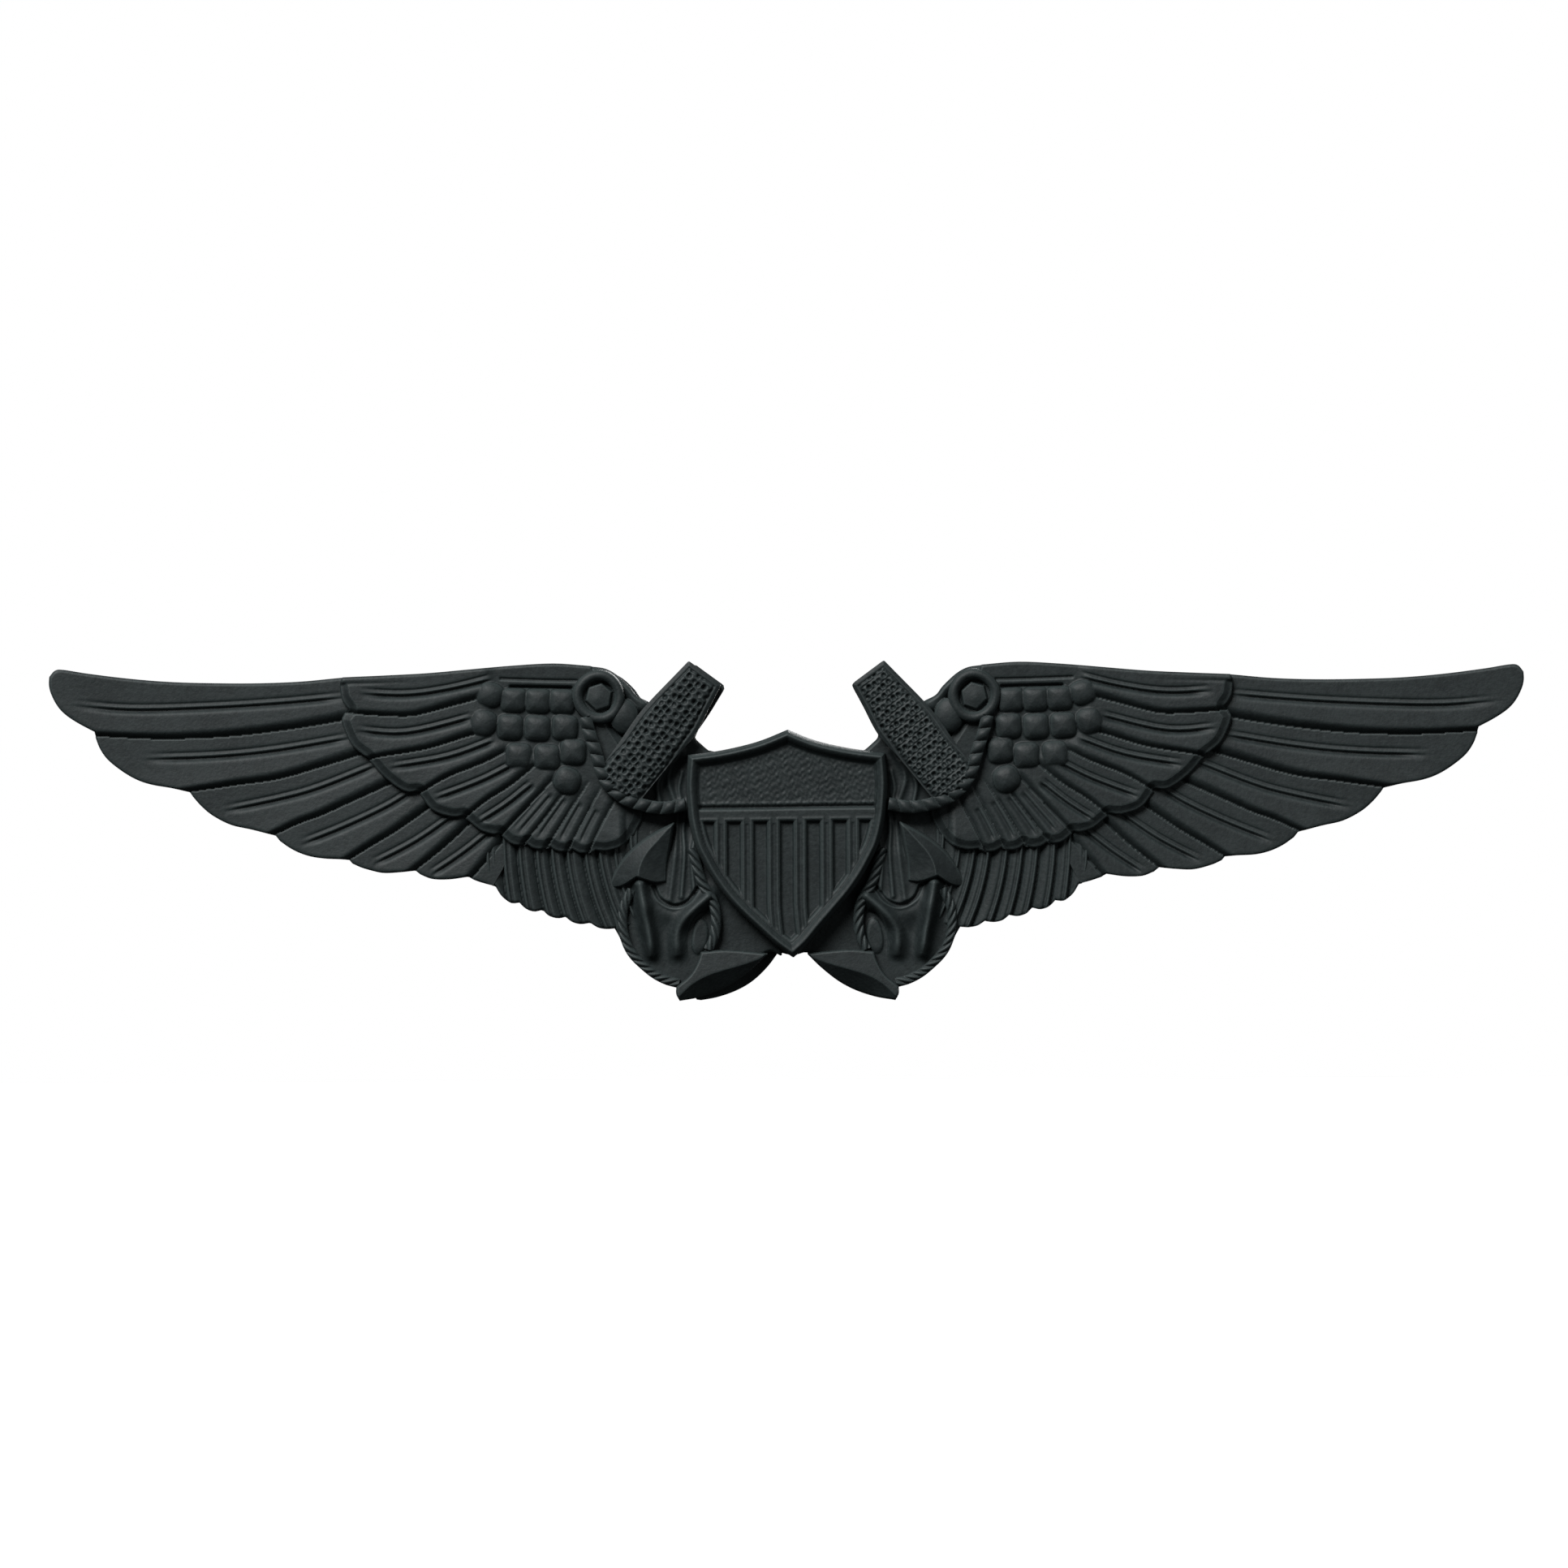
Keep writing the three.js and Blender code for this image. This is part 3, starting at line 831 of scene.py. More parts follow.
@dataclass(frozen=True)
class Quill:
    """A feather's shaft: a fine rib between a shallow groove above and a deeper one below.

    Across the shaft the height is a bell for the rib less one for each groove, and all of it fades in at the
    root and out towards the tip, over these shares of the shaft. A groove's upper side is steep and its lower
    side gentle, so its bell has two widths.
    """

    shaft: Line
    spacing: float = 0.28
    deep: float = 0.18
    shallow: float = 0.07
    rib: float = 0.02
    rib_width: float = 0.08
    steep_side: float = 0.06
    gentle_side: float = 0.14
    root_fade: float = 0.12
    tip_fade: float = 0.2
    reach: float = 0.8

    def groove(self, offset: np.ndarray) -> np.ndarray:
        """The depth of a groove at this offset from its middle, up being positive."""
        return bell(offset / np.where(offset > 0, self.steep_side, self.gentle_side))

    def height(self, x: np.ndarray, z: np.ndarray) -> np.ndarray:
        """What the quill adds to the height.

        Args:
            x: first coordinate.
            z: second coordinate.

        Returns:
            The change of height.
        """
        found = self.shaft.locate(x, z, self.reach)
        half = self.spacing / 2
        fade = smooth((1 - found.along) / self.tip_fade) * smooth(found.along / self.root_fade)
        cut = self.deep * self.groove(found.offset + half) + self.shallow * self.groove(found.offset - half)
        return fade * (self.rib * bell(found.offset / self.rib_width) - cut)


@dataclass(frozen=True)
class Scale:
    """A bead-like shoulder feather: a pillow with four soft facets, turned a little."""

    middle: Point
    half: float = 0.655
    power: float = 3.3
    tall: float = 0.5
    turn_degrees: float = 3.0
    facet_share: float = 0.14

    def height(self, x: np.ndarray, z: np.ndarray) -> np.ndarray:
        """Mostly a dome on a rounded square, and in part a pyramid, whose four sides are the facets.

        Args:
            x: first coordinate.
            z: second coordinate.

        Returns:
            The height over the scale's foot, and 0 outside it.
        """
        angle = math.radians(self.turn_degrees)
        dx, dz = (x - self.middle[0]) / self.half, (z - self.middle[1]) / self.half
        u = np.abs(dx * math.cos(angle) + dz * math.sin(angle))
        v = np.abs(dz * math.cos(angle) - dx * math.sin(angle))
        radius = (u**self.power + v**self.power) ** (1 / self.power)
        crown = np.sqrt(np.clip(1 - radius**3, 0, 1))
        facets = 1 - np.hypot(np.maximum(u, v), 0.1)
        pillow = (1 - self.facet_share) * crown + self.facet_share * np.clip(facets, 0, 1)
        return self.tall * pillow * (radius < 1)


@dataclass(frozen=True)
class Wing:
    """One wing: flight feathers, the raised coverts with their scales, and the short inner feathers."""

    plate: float = 1.02
    feather_rise: float = 0.24
    covert_base: float = 1.5
    covert_rise: float = 0.18
    covert_slant: float = 0.27
    covert_wall: float = 0.42
    shoulder_rise: float = 0.1
    scale_sink: float = 0.02
    short_base: float = 0.98
    short_rise: float = 0.24
    rib_rise: float = 0.16
    rib_groove: float = 0.05
    edge: float = 0.09
    edge_width: float = 0.14

    TOP = [(9.2, 8.42), (11, 8.55), (13, 8.45), (15, 8.28), (17, 8.11), (19, 8.01), (21, 7.92), (23, 7.74),
           (25, 7.67), (27, 7.68), (29, 7.74), (31, 7.9), (33, 8.15), (34.2, 8.34), (34.6, 8.3), (34.87, 8.0)]
    TIPS = [
        [(34.87, 8.0), (34.88, 7.6), (34.76, 7.15), (34.45, 6.65), (34.0, 6.2), (33.4, 5.8), (32.65, 5.4)],
        [(32.6, 5.1), (32.4, 4.6), (32.05, 4.1), (31.45, 3.6), (30.75, 3.17), (30, 2.9), (29, 2.72),
         (28.15, 2.52)],
        [(28.0, 2.3), (27.6, 1.85), (27.05, 1.4), (26.2, 0.97), (25.2, 0.74), (24.1, 0.45)],
        [(23.9, 0.2), (23.4, -0.15), (22.8, -0.43), (22.1, -0.6), (21.2, -0.65), (20.65, -0.7)],
        [(20.5, -0.88), (20.0, -1.1), (19.2, -1.3), (18.4, -1.28), (17.6, -1.2)],
        [(17.35, -1.4), (16.8, -1.6), (16.0, -1.62), (15.1, -1.5)],
        [(14.85, -1.65), (14.4, -1.8), (13.95, -1.92)],
    ]
    VALLEYS = [
        [(20.6, 6.02), (22, 5.77), (24, 5.48), (26, 5.26), (28, 5.15), (30, 5.14), (32.6, 5.28)],
        [(19.9, 4.4), (22, 3.75), (24, 3.2), (26, 2.93), (28.2, 2.62)],
        [(18.5, 3.05), (21, 1.9), (22, 1.45), (23, 1.1), (24.1, 0.6)],
        [(16.5, 2.05), (18.5, 0.7), (19.5, 0.1), (20.7, -0.65)],
        [(14.7, 1.25), (16, 0.1), (17.6, -1.15)],
        [(13.4, 0.2), (14.1, -0.6), (14.9, -1.5)],
    ]
    QUILLS = [
        [(20.6, 7.12), (24, 6.82), (27.5, 6.62), (31, 6.55), (34.0, 6.8)],
        [(20.4, 5.2), (24, 4.6), (27, 4.31), (30.6, 4.2)],
        [(19.2, 3.95), (22, 2.82), (24, 2.27), (26.8, 1.7)],
        [(17.7, 2.65), (19, 1.86), (21, 0.91), (23.1, 0.08)],
        [(15.7, 1.5), (17, 0.61), (18, 0.01), (19.7, -0.86)],
        [(13.9, 0.75), (15.4, -0.35), (17.0, -1.4)],
    ]
    COVERT_TIPS = [
        [(21.0, 7.93), (21.1, 7.5), (21.0, 6.9), (20.65, 6.42)],
        [(20.85, 6.2), (20.95, 5.8), (20.5, 4.75), (19.75, 4.1)],
        [(19.65, 3.95), (19.0, 3.2), (18.1, 2.55), (17.4, 2.5)],
        [(17.3, 2.3), (16.75, 1.62), (15.9, 1.3), (15.25, 1.3)],
        [(15.15, 1.15), (14.5, 0.62), (13.9, 0.42), (13.55, 0.42)],
        [(13.45, 0.3), (13.1, 0.02), (12.7, -0.1), (12.35, -0.08)],
        [(12.3, -0.04), (12.0, -0.22), (11.6, -0.27), (11.25, -0.22)],
        [(11.2, -0.16), (10.9, -0.33), (10.5, -0.38), (10.2, -0.32)],
        [(10.15, -0.26), (9.8, -0.42), (9.4, -0.44), (9.1, -0.36)],
        [(9.05, -0.3), (8.5, -0.33), (7.8, -0.1), (7.2, 0.45)],
    ]
    COVERT_VALLEYS = [
        [(14.3, 6.9), (16, 6.5), (17, 6.25), (18, 6.1), (19.9, 6.2), (20.75, 6.3)],
        [(13.9, 5.3), (15, 5.1), (17, 4.55), (19.2, 4.2), (19.7, 4.05)],
        [(13.2, 4.35), (14.3, 3.82), (16, 3.2), (17.35, 2.45)],
        [(11.9, 3.6), (13, 2.72), (14.2, 2.0), (15.2, 1.25)],
        [(10.9, 3.1), (12.2, 1.7), (13.5, 0.38)],
        [(10.2, 2.75), (11.3, 1.3), (12.4, 0.0)],
        [(9.6, 2.5), (10.5, 1.1), (11.3, -0.1)],
        [(9.0, 2.2), (9.7, 0.9), (10.3, -0.2)],
        [(8.3, 1.7), (8.9, 0.6), (9.3, -0.25)],
    ]
    COVERT_QUILLS = [
        [(13.6, 8.0), (16, 7.42), (18, 7.17), (20.3, 7.27)],
        [(14.8, 6.05), (18, 5.37), (20.4, 5.52)],
        [(13.7, 4.95), (16, 4.2), (18.9, 3.73)],
        [(12.9, 3.75), (14.5, 3.0), (16.8, 2.2)],
        [(12.0, 2.85), (13.3, 1.85), (14.7, 1.0)],
        [(11.2, 2.4), (12.1, 1.35), (12.9, 0.45)], [(10.55, 2.2), (11.3, 1.15), (11.95, 0.25)],
        [(9.85, 2.0), (10.45, 0.95), (10.9, 0.15)], [(9.1, 1.7), (9.6, 0.75), (9.95, 0.05)],
    ]
    ROUND_SCALES = [(14.0, 7.03), (14.33, 5.67), (10.38, 2.91)]
    SCALES = [
        (12.9, 6.73), (11.75, 6.67), (10.6, 6.65), (13.07, 5.43), (11.78, 5.37), (10.48, 5.41), (12.68, 4.06),
        (11.32, 4.0), (10.1, 4.28),
    ]
    SHORT_TIPS = [
        [(13.8, -1.98), (13.5, -2.45), (13.1, -2.75), (12.75, -2.75)],
        [(12.7, -2.72), (12.4, -3.02), (12.0, -3.16), (11.65, -3.1)],
        [(11.6, -3.08), (11.3, -3.36), (10.9, -3.48), (10.55, -3.44)],
        [(10.5, -3.42), (10.2, -3.66), (9.8, -3.76), (9.4, -3.72)],
        [(9.35, -3.7), (9.0, -3.92), (8.6, -4.0), (8.2, -3.98)],
    ]
    SHORT_STARTS = [14.3, 13.5, 12.77, 11.95, 11.24, 10.52, 9.68, 9.0, 8.3, 7.5, 6.8]
    UNDER_COVERTS = [(13.9, -1.95), (13.3, -0.6), (14.0, 0.9), (16.3, 2.1), (18.0, 3.2), (19.4, 4.7),
                     (20.1, 6.2), (20.2, 7.95)]
    SHOULDER = [(7.2, 0.45), (6.8, 1.6), (7.2, 4.0), (8.3, 6.0), (9.2, 8.42)]
    FINE_LINE = [(9.9, 7.74), (11.5, 7.77), (13.5, 7.84)]
    DEEP_LINE = [(10.2, 7.35), (13.0, 7.42)]
    STRAP_LINE = [(9.4, 5.5), (8.62, 3.5)]

    def flight(self) -> Shell:
        """The flight feathers, from the tip to where the coverts hide them.

        Returns:
            The right wing's flight feathers.
        """
        top = [point for point in self.TOP if point[0] > 20]
        outline = Line.through([(20.2, 7.96)] + top, *self.TIPS, self.UNDER_COVERTS)
        borders = [Line.through([(19, 8.6), (34, 9.0)]).extended(1, 3)]
        borders += [Line.through(valley).moved(0, -0.09).extended(1, 2) for valley in self.VALLEYS]
        borders += [Line.through([(13, -4), (30, -1)])]
        row = FeatherRow(borders, self.plate, self.feather_rise, roll_root=0.58, roll_tip=0.3)
        quills = [Quill(Line.through(shaft)) for shaft in self.QUILLS]

        def height(x: np.ndarray, z: np.ndarray, inset: np.ndarray) -> np.ndarray:
            """The row and its quills, with a small round at the edge where the coverts don't hide it."""
            out = row.height(x, z) + sum(quill.height(x, z) for quill in quills)
            in_sight = smooth((x - 13.9) / 0.5)
            return out - in_sight * self.edge * rolled(inset, self.edge_width)

        return Relief(outline, height).shell()

    def coverts(self) -> Shell:
        """The raised inner feathers and the scales on the wing's shoulder.

        Returns:
            The right wing's coverts.
        """
        top = [point for point in self.TOP if point[0] < 21]
        outline = Line.through(top + [(21.0, 7.93)], *self.COVERT_TIPS, self.SHOULDER)
        borders = [Line.through([(8, 9.3), (24, 9.2)])]
        borders += [Line.through(valley).moved(0, -0.05).extended(1.2, 1) for valley in self.COVERT_VALLEYS]
        borders += [Line.through([(7.6, 3), (7.6, -2)])]
        row = FeatherRow(borders, self.covert_base, self.covert_rise, roll_root=0.5, roll_tip=0.28)
        shafts = [Line.through(points) for points in self.COVERT_QUILLS]
        quills = [Quill(shaft, spacing=0.28, deep=0.21, shallow=0.09) for shaft in shafts[:5]]
        quills += [Quill(shaft, spacing=0.3, deep=0.1, shallow=0.04) for shaft in shafts[5:]]
        scales = [Scale(middle) for middle in self.SCALES]
        round_look = {"half": 0.68, "power": 2.3, "tall": 0.52, "turn_degrees": 20}
        scales += [Scale(middle, **round_look) for middle in self.ROUND_SCALES]
        fine = Line.through(self.FINE_LINE)
        deep = Line.through(self.DEEP_LINE)
        strap = Line.through(self.STRAP_LINE)

        def cut(line: Line, x: np.ndarray, z: np.ndarray, depth: float, width: float) -> np.ndarray:
            """The depth of a groove of this width along a line."""
            return depth * bell(line.locate(x, z, reach=0.6).distance / width)

        def height(x: np.ndarray, z: np.ndarray, inset: np.ndarray) -> np.ndarray:
            """The row and its quills, then the shoulder with its scales, then the slanted edge."""
            out = row.height(x, z) + sum(quill.height(x, z) for quill in quills)
            shoulder = smooth((14.4 - x) / 0.7) * smooth((z - 2.75 - 0.5 * (x - 10.4)) / 0.9)
            out = out * (1 - shoulder) + (self.covert_base + self.shoulder_rise) * shoulder
            out = out - cut(fine, x, z, 0.12, 0.06)
            for scale in scales:
                bead = scale.height(x, z)
                out = np.where(bead > 0, np.maximum(out, self.covert_base - self.scale_sink + bead), out)
            out = out - cut(deep, x, z, 0.3, 0.09) - cut(strap, x, z, 0.2, 0.06)
            upper_edge = smooth((z - 7.55) / 0.2)
            slant = self.covert_slant * chamfer(inset, self.covert_wall) - 0.04 * bell((inset - 0.07) / 0.05)
            return out - slant * (1 - upper_edge) - self.edge * rolled(inset, self.edge_width) * upper_edge

        return Relief(outline, height).shell()

    def short_feathers(self) -> Shell:
        """The narrow feathers that hang under the coverts.

        Returns:
            The right wing's short feathers.
        """
        side = [(13.9, 0.9), (14.3, -0.6), (13.95, -1.95)]
        outline = Line.through(side, *self.SHORT_TIPS, [(8.2, -3.98), (7.2, -3.8)], [(7.2, -3.8), (7.0, 0.9)])

        def border(start: float) -> Line:
            """A feather's outer edge: straight at the top, then it bends towards the badge's middle."""
            lean = 0.3 + 0.65 * (14 - start) / 7
            levels = (0.9, 0, -1, -2, -3, -4.2)
            return Line.through([(start - lean * max(0.0, (0.3 - z) / 3.5) ** 1.8, z) for z in levels])

        borders = [border(start) for start in self.SHORT_STARTS]

        def height(x: np.ndarray, z: np.ndarray, inset: np.ndarray) -> np.ndarray:
            """Across each feather: a fine rib, a groove beside it, then a round web that drops at the end."""
            found = [edge.locate(x, z) for edge in borders]
            out = np.full(x.shape, self.short_base)
            for outer, inner in zip(found[:-1], found[1:]):
                inside = (outer.offset <= 0) & (inner.offset > 0)
                near, far = np.maximum(-outer.offset, 0), np.maximum(inner.offset, 0)
                t = near / (near + far + 1e-6)
                rib = self.rib_rise * bell((near - 0.1) / 0.08) - self.rib_groove * bell((near - 0.27) / 0.07)
                web = 0.03 + self.short_rise * np.sin(math.pi * t**0.8)
                out = np.where(inside, self.short_base + rib + web * crest(far / 0.15), out)
            return out - self.edge * rolled(inset, self.edge_width)

        return Relief(outline, height).shell()

    def build(self, side: Side, finishes: Finishes) -> None:
        """Make the wing's three pieces on one side of the badge."""
        made = {
            "flight_feathers": self.flight(),
            "coverts": self.coverts(),
            "short_feathers": self.short_feathers(),
        }
        for name, shell in made.items():
            put_struck(f"{name}_{side.name.lower()}", shell.on(side), finishes.black)


# ------------------------------------------------------------ middle


@dataclass(frozen=True)
class Shield:
    """The shield: a rounded rim, a pebbled chief over a bar, and seven sunk stripes.

    Crest, field, chief and stripe floor are heights above the badge's back; the bar's top and bottom are z.
    """

    crest: float = 2.4
    field: float = 2.12
    chief: float = 1.98
    stripe_floor: float = 1.88
    stripe_wall: float = 0.13
    stripe_lip: float = 0.035
    groove: float = 0.06
    rim: float = 0.5
    edge: float = 0.26
    edge_width: float = 0.22
    bar_top: float = 1.66
    bar_bottom: float = 1.14
    bar_cut: float = 0.16
    pitch: float = 1.25
    stripe_half: float = 0.37
    outermost: float = 4.0
    pebble: float = 0.004

    TOP = [(0, 5.42), (1.4, 4.87), (3.1, 4.48), (4.66, 4.28)]
    FLANK = [(4.66, 4.28), (4.76, 3), (4.72, 2), (4.6, 1), (4.35, 0), (4.0, -0.75), (3.55, -1.55),
             (2.95, -2.4), (2.25, -3.2), (1.45, -4.03), (0.75, -4.75), (0, -5.36)]
    # Each wave's direction in radians, and how many radians it goes through in a millimetre.
    PEBBLE_WAVES = [
        (0.3, 17.0), (1.15, 26.0), (2.05, 21.0), (2.75, 31.0), (0.75, 37.0), (1.7, 13.0), (2.4, 24.0),
    ]

    def outline(self) -> Line:
        """The shield's edge."""
        return Line.through(self.TOP, self.FLANK).with_mirror()

    def height(self, x: np.ndarray, z: np.ndarray, inset: np.ndarray) -> np.ndarray:
        """The rim as a rounded ridge, the field inside it, and what is sunk into the field.

        Args:
            x: first coordinate.
            z: second coordinate.
            inset: how far inside the outline.

        Returns:
            The height.
        """
        across = np.clip(inset / self.rim, 0, 1)
        rim = self.field + (self.crest - self.field) * np.sin(math.pi * across**0.8) ** 0.7
        inside = inset - self.rim
        out = np.where(inside > 0, self.field, rim) - self.edge * chamfer(inset, self.edge_width)
        chief = np.minimum(inside, z - self.bar_top)
        out = out - (self.field - self.chief) * smooth(chief / 0.14)
        out = out + self._pebbles(x, z) * smooth(chief / 0.3)
        level = smooth(inside / 0.1)
        above_bar = z - self.bar_top
        bar = 0.03 * bell((above_bar - 0.3) / 0.06) - self.bar_cut * bell((above_bar - 0.1) / 0.08)
        return out + level * bar + self._stripes(x, z, inside, level)

    def _stripes(self, x: np.ndarray, z: np.ndarray, inside: np.ndarray, level: np.ndarray) -> np.ndarray:
        """What the stripes add: each is sunk inside a thin lip, and a fine groove lies between two of them.

        Args:
            x: first coordinate.
            z: second coordinate.
            inside: how far inside the rim.
            level: 1 on the field and 0 on the rim.

        Returns:
            The change of height.
        """
        centre = np.round(x / self.pitch) * self.pitch
        gap = self.stripe_half - np.abs(x - centre)
        stripe = np.minimum(np.minimum(gap, self.bar_bottom - z), inside - 0.12)
        lip = self.stripe_lip * bell((stripe + 0.08) / 0.05)
        sunk = (self.field - self.stripe_floor) * smooth(stripe / self.stripe_wall)
        between = bell((np.abs(x - centre) - self.pitch / 2) / 0.06)
        ends = smooth((self.bar_bottom - 0.1 - z) / 0.1) * smooth((inside - 0.1) / 0.1)
        groove = self.groove * between * ends
        return (lip - sunk) * (np.abs(centre) < self.outermost) * level - groove

    def _pebbles(self, x: np.ndarray, z: np.ndarray) -> np.ndarray:
        """A fine uneven ground: waves in fixed odd directions, bent by slower ones, and added up.

        Args:
            x: first coordinate.
            z: second coordinate.

        Returns:
            The change of height.
        """
        bend = 1.1 * np.sin(2.3 * x + 3.1 * z) + 0.8 * np.sin(4.7 * x - 3.9 * z)
        out = np.zeros(x.shape)
        for turn, wave in self.PEBBLE_WAVES:
            along = x * math.cos(turn) + z * math.sin(turn)
            out = out + np.sin(wave * along + 9 * turn + bend * (turn - 1.4))
        return self.pebble * out

    def build(self, finishes: Finishes) -> None:
        """Make the shield."""
        put_struck("shield", Relief(self.outline(), self.height, step=0.045).shell(), finishes.black)


@dataclass(frozen=True)
class Rope:
    """A flattened rope, or a strap of short links, that lies on the face along a path.

    With u going from -1 to 1 across it and s along it, the height is the base plus a half round in u, which
    swells over each strand and sinks between strands. A strand's phase is s over the pitch plus the slant
    times u, so that the strands lie aslant. The smaller the fullness, the squarer a strand.
    """

    path: tuple[Point, ...]
    base: float
    half: float = 0.22
    swell: float = 0.26
    pitch: float = 0.46
    slant: float = 0.7
    cut: float = 0.55
    fullness: float = 0.7

    def shell(self) -> Shell:
        """The rope, inside an outline that is the path moved to both sides by half the width.

        Returns:
            The right-hand rope.
        """
        middle = rounded(self.path, 8)
        way = np.gradient(middle, axis=0)
        normal = np.stack([-way[:, 1], way[:, 0]], 1) / np.hypot(*way.T)[:, None] * self.half
        outline = Line(np.vstack([middle + normal, (middle - normal)[::-1]]))
        length = np.hypot(*np.diff(middle, axis=0).T).sum()

        def height(x: np.ndarray, z: np.ndarray, inset: np.ndarray) -> np.ndarray:
            """The half round with its strands."""
            found = Line(middle).locate(x, z)
            u = found.offset / self.half
            phase = found.along * length / self.pitch + self.slant * u
            strand = np.abs(np.sin(math.pi * phase)) ** self.fullness
            crown = np.sqrt(np.clip(1 - 0.85 * u**2, 0, 1))
            return self.base + self.swell * crown * (1 - self.cut + self.cut * strand)

        return Relief(outline, height, step=0.03).shell()


@dataclass(frozen=True)
class Anchor:
    """One of the two anchors behind the shield: stock, ring, palm, crescent fluke and ropes."""

    stock_top: float = 2.12
    stock_crown: float = 0.06
    stock_half: float = 0.9
    lip: float = 0.24
    pit_pitch: Point = (0.37, 0.3)
    grip_depth: float = 0.24
    grip_sink: float = 0.16
    palm_top: float = 1.95
    crescent_top: float = 1.8
    ring_middle: Point = (8.82, 6.93)
    ring_outer: float = 1.33
    ring_inner: float = 0.8
    ring_base: float = 1.68
    ring_rise: float = 0.36
    plate_rise: float = 0.26
    plate_half: float = 0.68
    palm_steep: float = 0.58
    palm_gentle: float = 0.34
    crescent_steep: float = 0.85
    crescent_gentle: float = 0.10

    STOCK = [[(3.1, 7.64), (4.34, 8.55)], [(4.34, 8.55), (4.48, 8.62), (4.62, 8.5)],
             [(4.62, 8.5), (6.45, 6.6), (7.55, 5.25), (8.85, 3.45)], [(8.85, 3.45), (8.3, 2.5), (7.0, 1.95)],
             [(7.0, 1.95), (5.37, 3.95), (4.15, 5.35), (3.06, 7.3)], [(3.06, 7.3), (2.99, 7.5), (3.1, 7.64)]]
    # The middle of the stock's upper end, and the way from there to its lower end.
    STOCK_END = (3.77, 8.07)
    STOCK_WAY = (4.07, -5.19)
    PALM = [[(5.3, 1.05), (6.4, 0.5), (7.45, -0.3), (8.1, -1.1), (8.62, -2.15)],
            [(8.62, -2.15), (7.8, -2.05), (7.1, -1.62)], [(7.1, -1.62), (6.3, -1.88), (5.65, -1.85)],
            [(5.65, -1.85), (5.62, -0.9), (5.45, 0.1), (5.3, 1.05)]]
    CRESCENT = [[(0.65, -5.16), (1.25, -5.84), (2.0, -6.49), (2.8, -6.94), (3.75, -7.26), (4.7, -7.42)],
                [(4.7, -7.42), (4.86, -7.1), (4.86, -6.75)],
                [(4.86, -6.75), (4.25, -6.2), (3.95, -5.6), (3.85, -5.1)],
                [(3.85, -5.1), (2.6, -5.0), (0.65, -5.16)]]
    PALM_RIDGE = [(5.3, 1.05), (6.08, 0.2), (6.65, -0.45), (6.95, -1.05), (7.05, -1.65)]
    CRESCENT_RIDGE = [(0.55, -5.2), (1.6, -5.62), (2.6, -5.93), (3.4, -6.2), (4.1, -6.6), (4.8, -7.25)]
    OUTER_ROPE = ((7.35, -2.15), (7.72, -3.0), (7.78, -3.9), (7.55, -4.8), (7.1, -5.45), (6.35, -6.02),
                  (5.4, -6.42), (4.75, -6.6))
    INNER_ROPE = ((4.5, -0.2), (4.05, -1.75), (3.5, -2.75), (3.3, -3.6), (3.3, -4.4), (3.5, -5.0))
    STRAP = ((9.5, 5.95), (9.3, 5.2), (9.0, 4.3), (8.78, 3.5), (8.4, 2.75), (7.7, 2.15), (6.9, 1.86),
             (5.9, 1.7), (4.8, 1.86))

    def pits(self, along: np.ndarray, across: np.ndarray, knurl: Knurl) -> np.ndarray:
        """The grip's cut: one pit in each cell of a lattice, off its middle, and a groove between rows.

        A pit is a bell, and how far it is shifted and how deep it is follow sines of its row and column. The
        pitted grip has stronger shifts, and the other one has deeper grooves between its rows.

        Args:
            along: distance along the stock.
            across: distance from its middle line.
            knurl: how the grip is cut.

        Returns:
            1 where nothing is cut and 0 at the bottom of a pit.
        """
        shift, row_cut = {Knurl.PITTED: (0.2, 0.15), Knurl.ROWS: (0.12, 0.35)}[knurl]
        u, v = along / self.pit_pitch[0], across / self.pit_pitch[1]
        i, j = np.floor(u), np.floor(v)
        du = u - i - 0.5 - shift * np.sin(7.3 * i + 11.1 * j)
        dv = v - j - 0.5 - shift * np.sin(5.7 * i - 8.3 * j)
        pit = bell(np.hypot(du, dv) / 0.34) * (0.75 + 0.25 * np.sin(3.1 * i + 4.7 * j))
        return 1 - np.maximum(pit, row_cut * bell(np.minimum(u - i, i + 1 - u) / 0.2))

    def stock(self, knurl: Knurl) -> Shell:
        """The stock: a slanted bar with a smooth lip round its cut grip.

        Args:
            knurl: how the grip is cut.

        Returns:
            The right-hand stock.
        """
        end = self.STOCK_END
        way = np.array(self.STOCK_WAY) / np.hypot(*self.STOCK_WAY)

        def height(x: np.ndarray, z: np.ndarray, inset: np.ndarray) -> np.ndarray:
            """A low round across the bar, the lip with a groove inside it, and the cut grip."""
            along = (x - end[0]) * way[0] + (z - end[1]) * way[1]
            across = (x - end[0]) * way[1] - (z - end[1]) * way[0]
            lip = 0.06 + (self.lip - 0.06) * smooth((z - 3.6) / 1.5)
            crown = self.stock_crown * (1 - (across / self.stock_half) ** 2)
            level = self.stock_top + crown - 0.09 * chamfer(inset, self.lip)
            cut = self.grip_depth * self.pits(along, across, knurl) - self.grip_sink
            return level - 0.08 * bell((inset - lip - 0.03) / 0.06) + smooth((inset - lip) / 0.08) * cut

        return Relief(Line.through(*self.STOCK), height, step=0.035).shell()

    def palm(self) -> Shell:
        """The palm: an arrowhead with a curved ridge down its middle."""
        ridge = Line.through(self.PALM_RIDGE)

        def height(x: np.ndarray, z: np.ndarray, inset: np.ndarray) -> np.ndarray:
            """Two facets that fall away from the ridge, the outer one steeper, less a round at the edge."""
            found = ridge.locate(x, z)
            fall = np.where(found.offset > 0, self.palm_steep, self.palm_gentle) * found.distance
            return self.palm_top - fall - 0.3 * rolled(inset, 0.14)

        return Relief(Line.through(*self.PALM), height, step=0.045).shell()

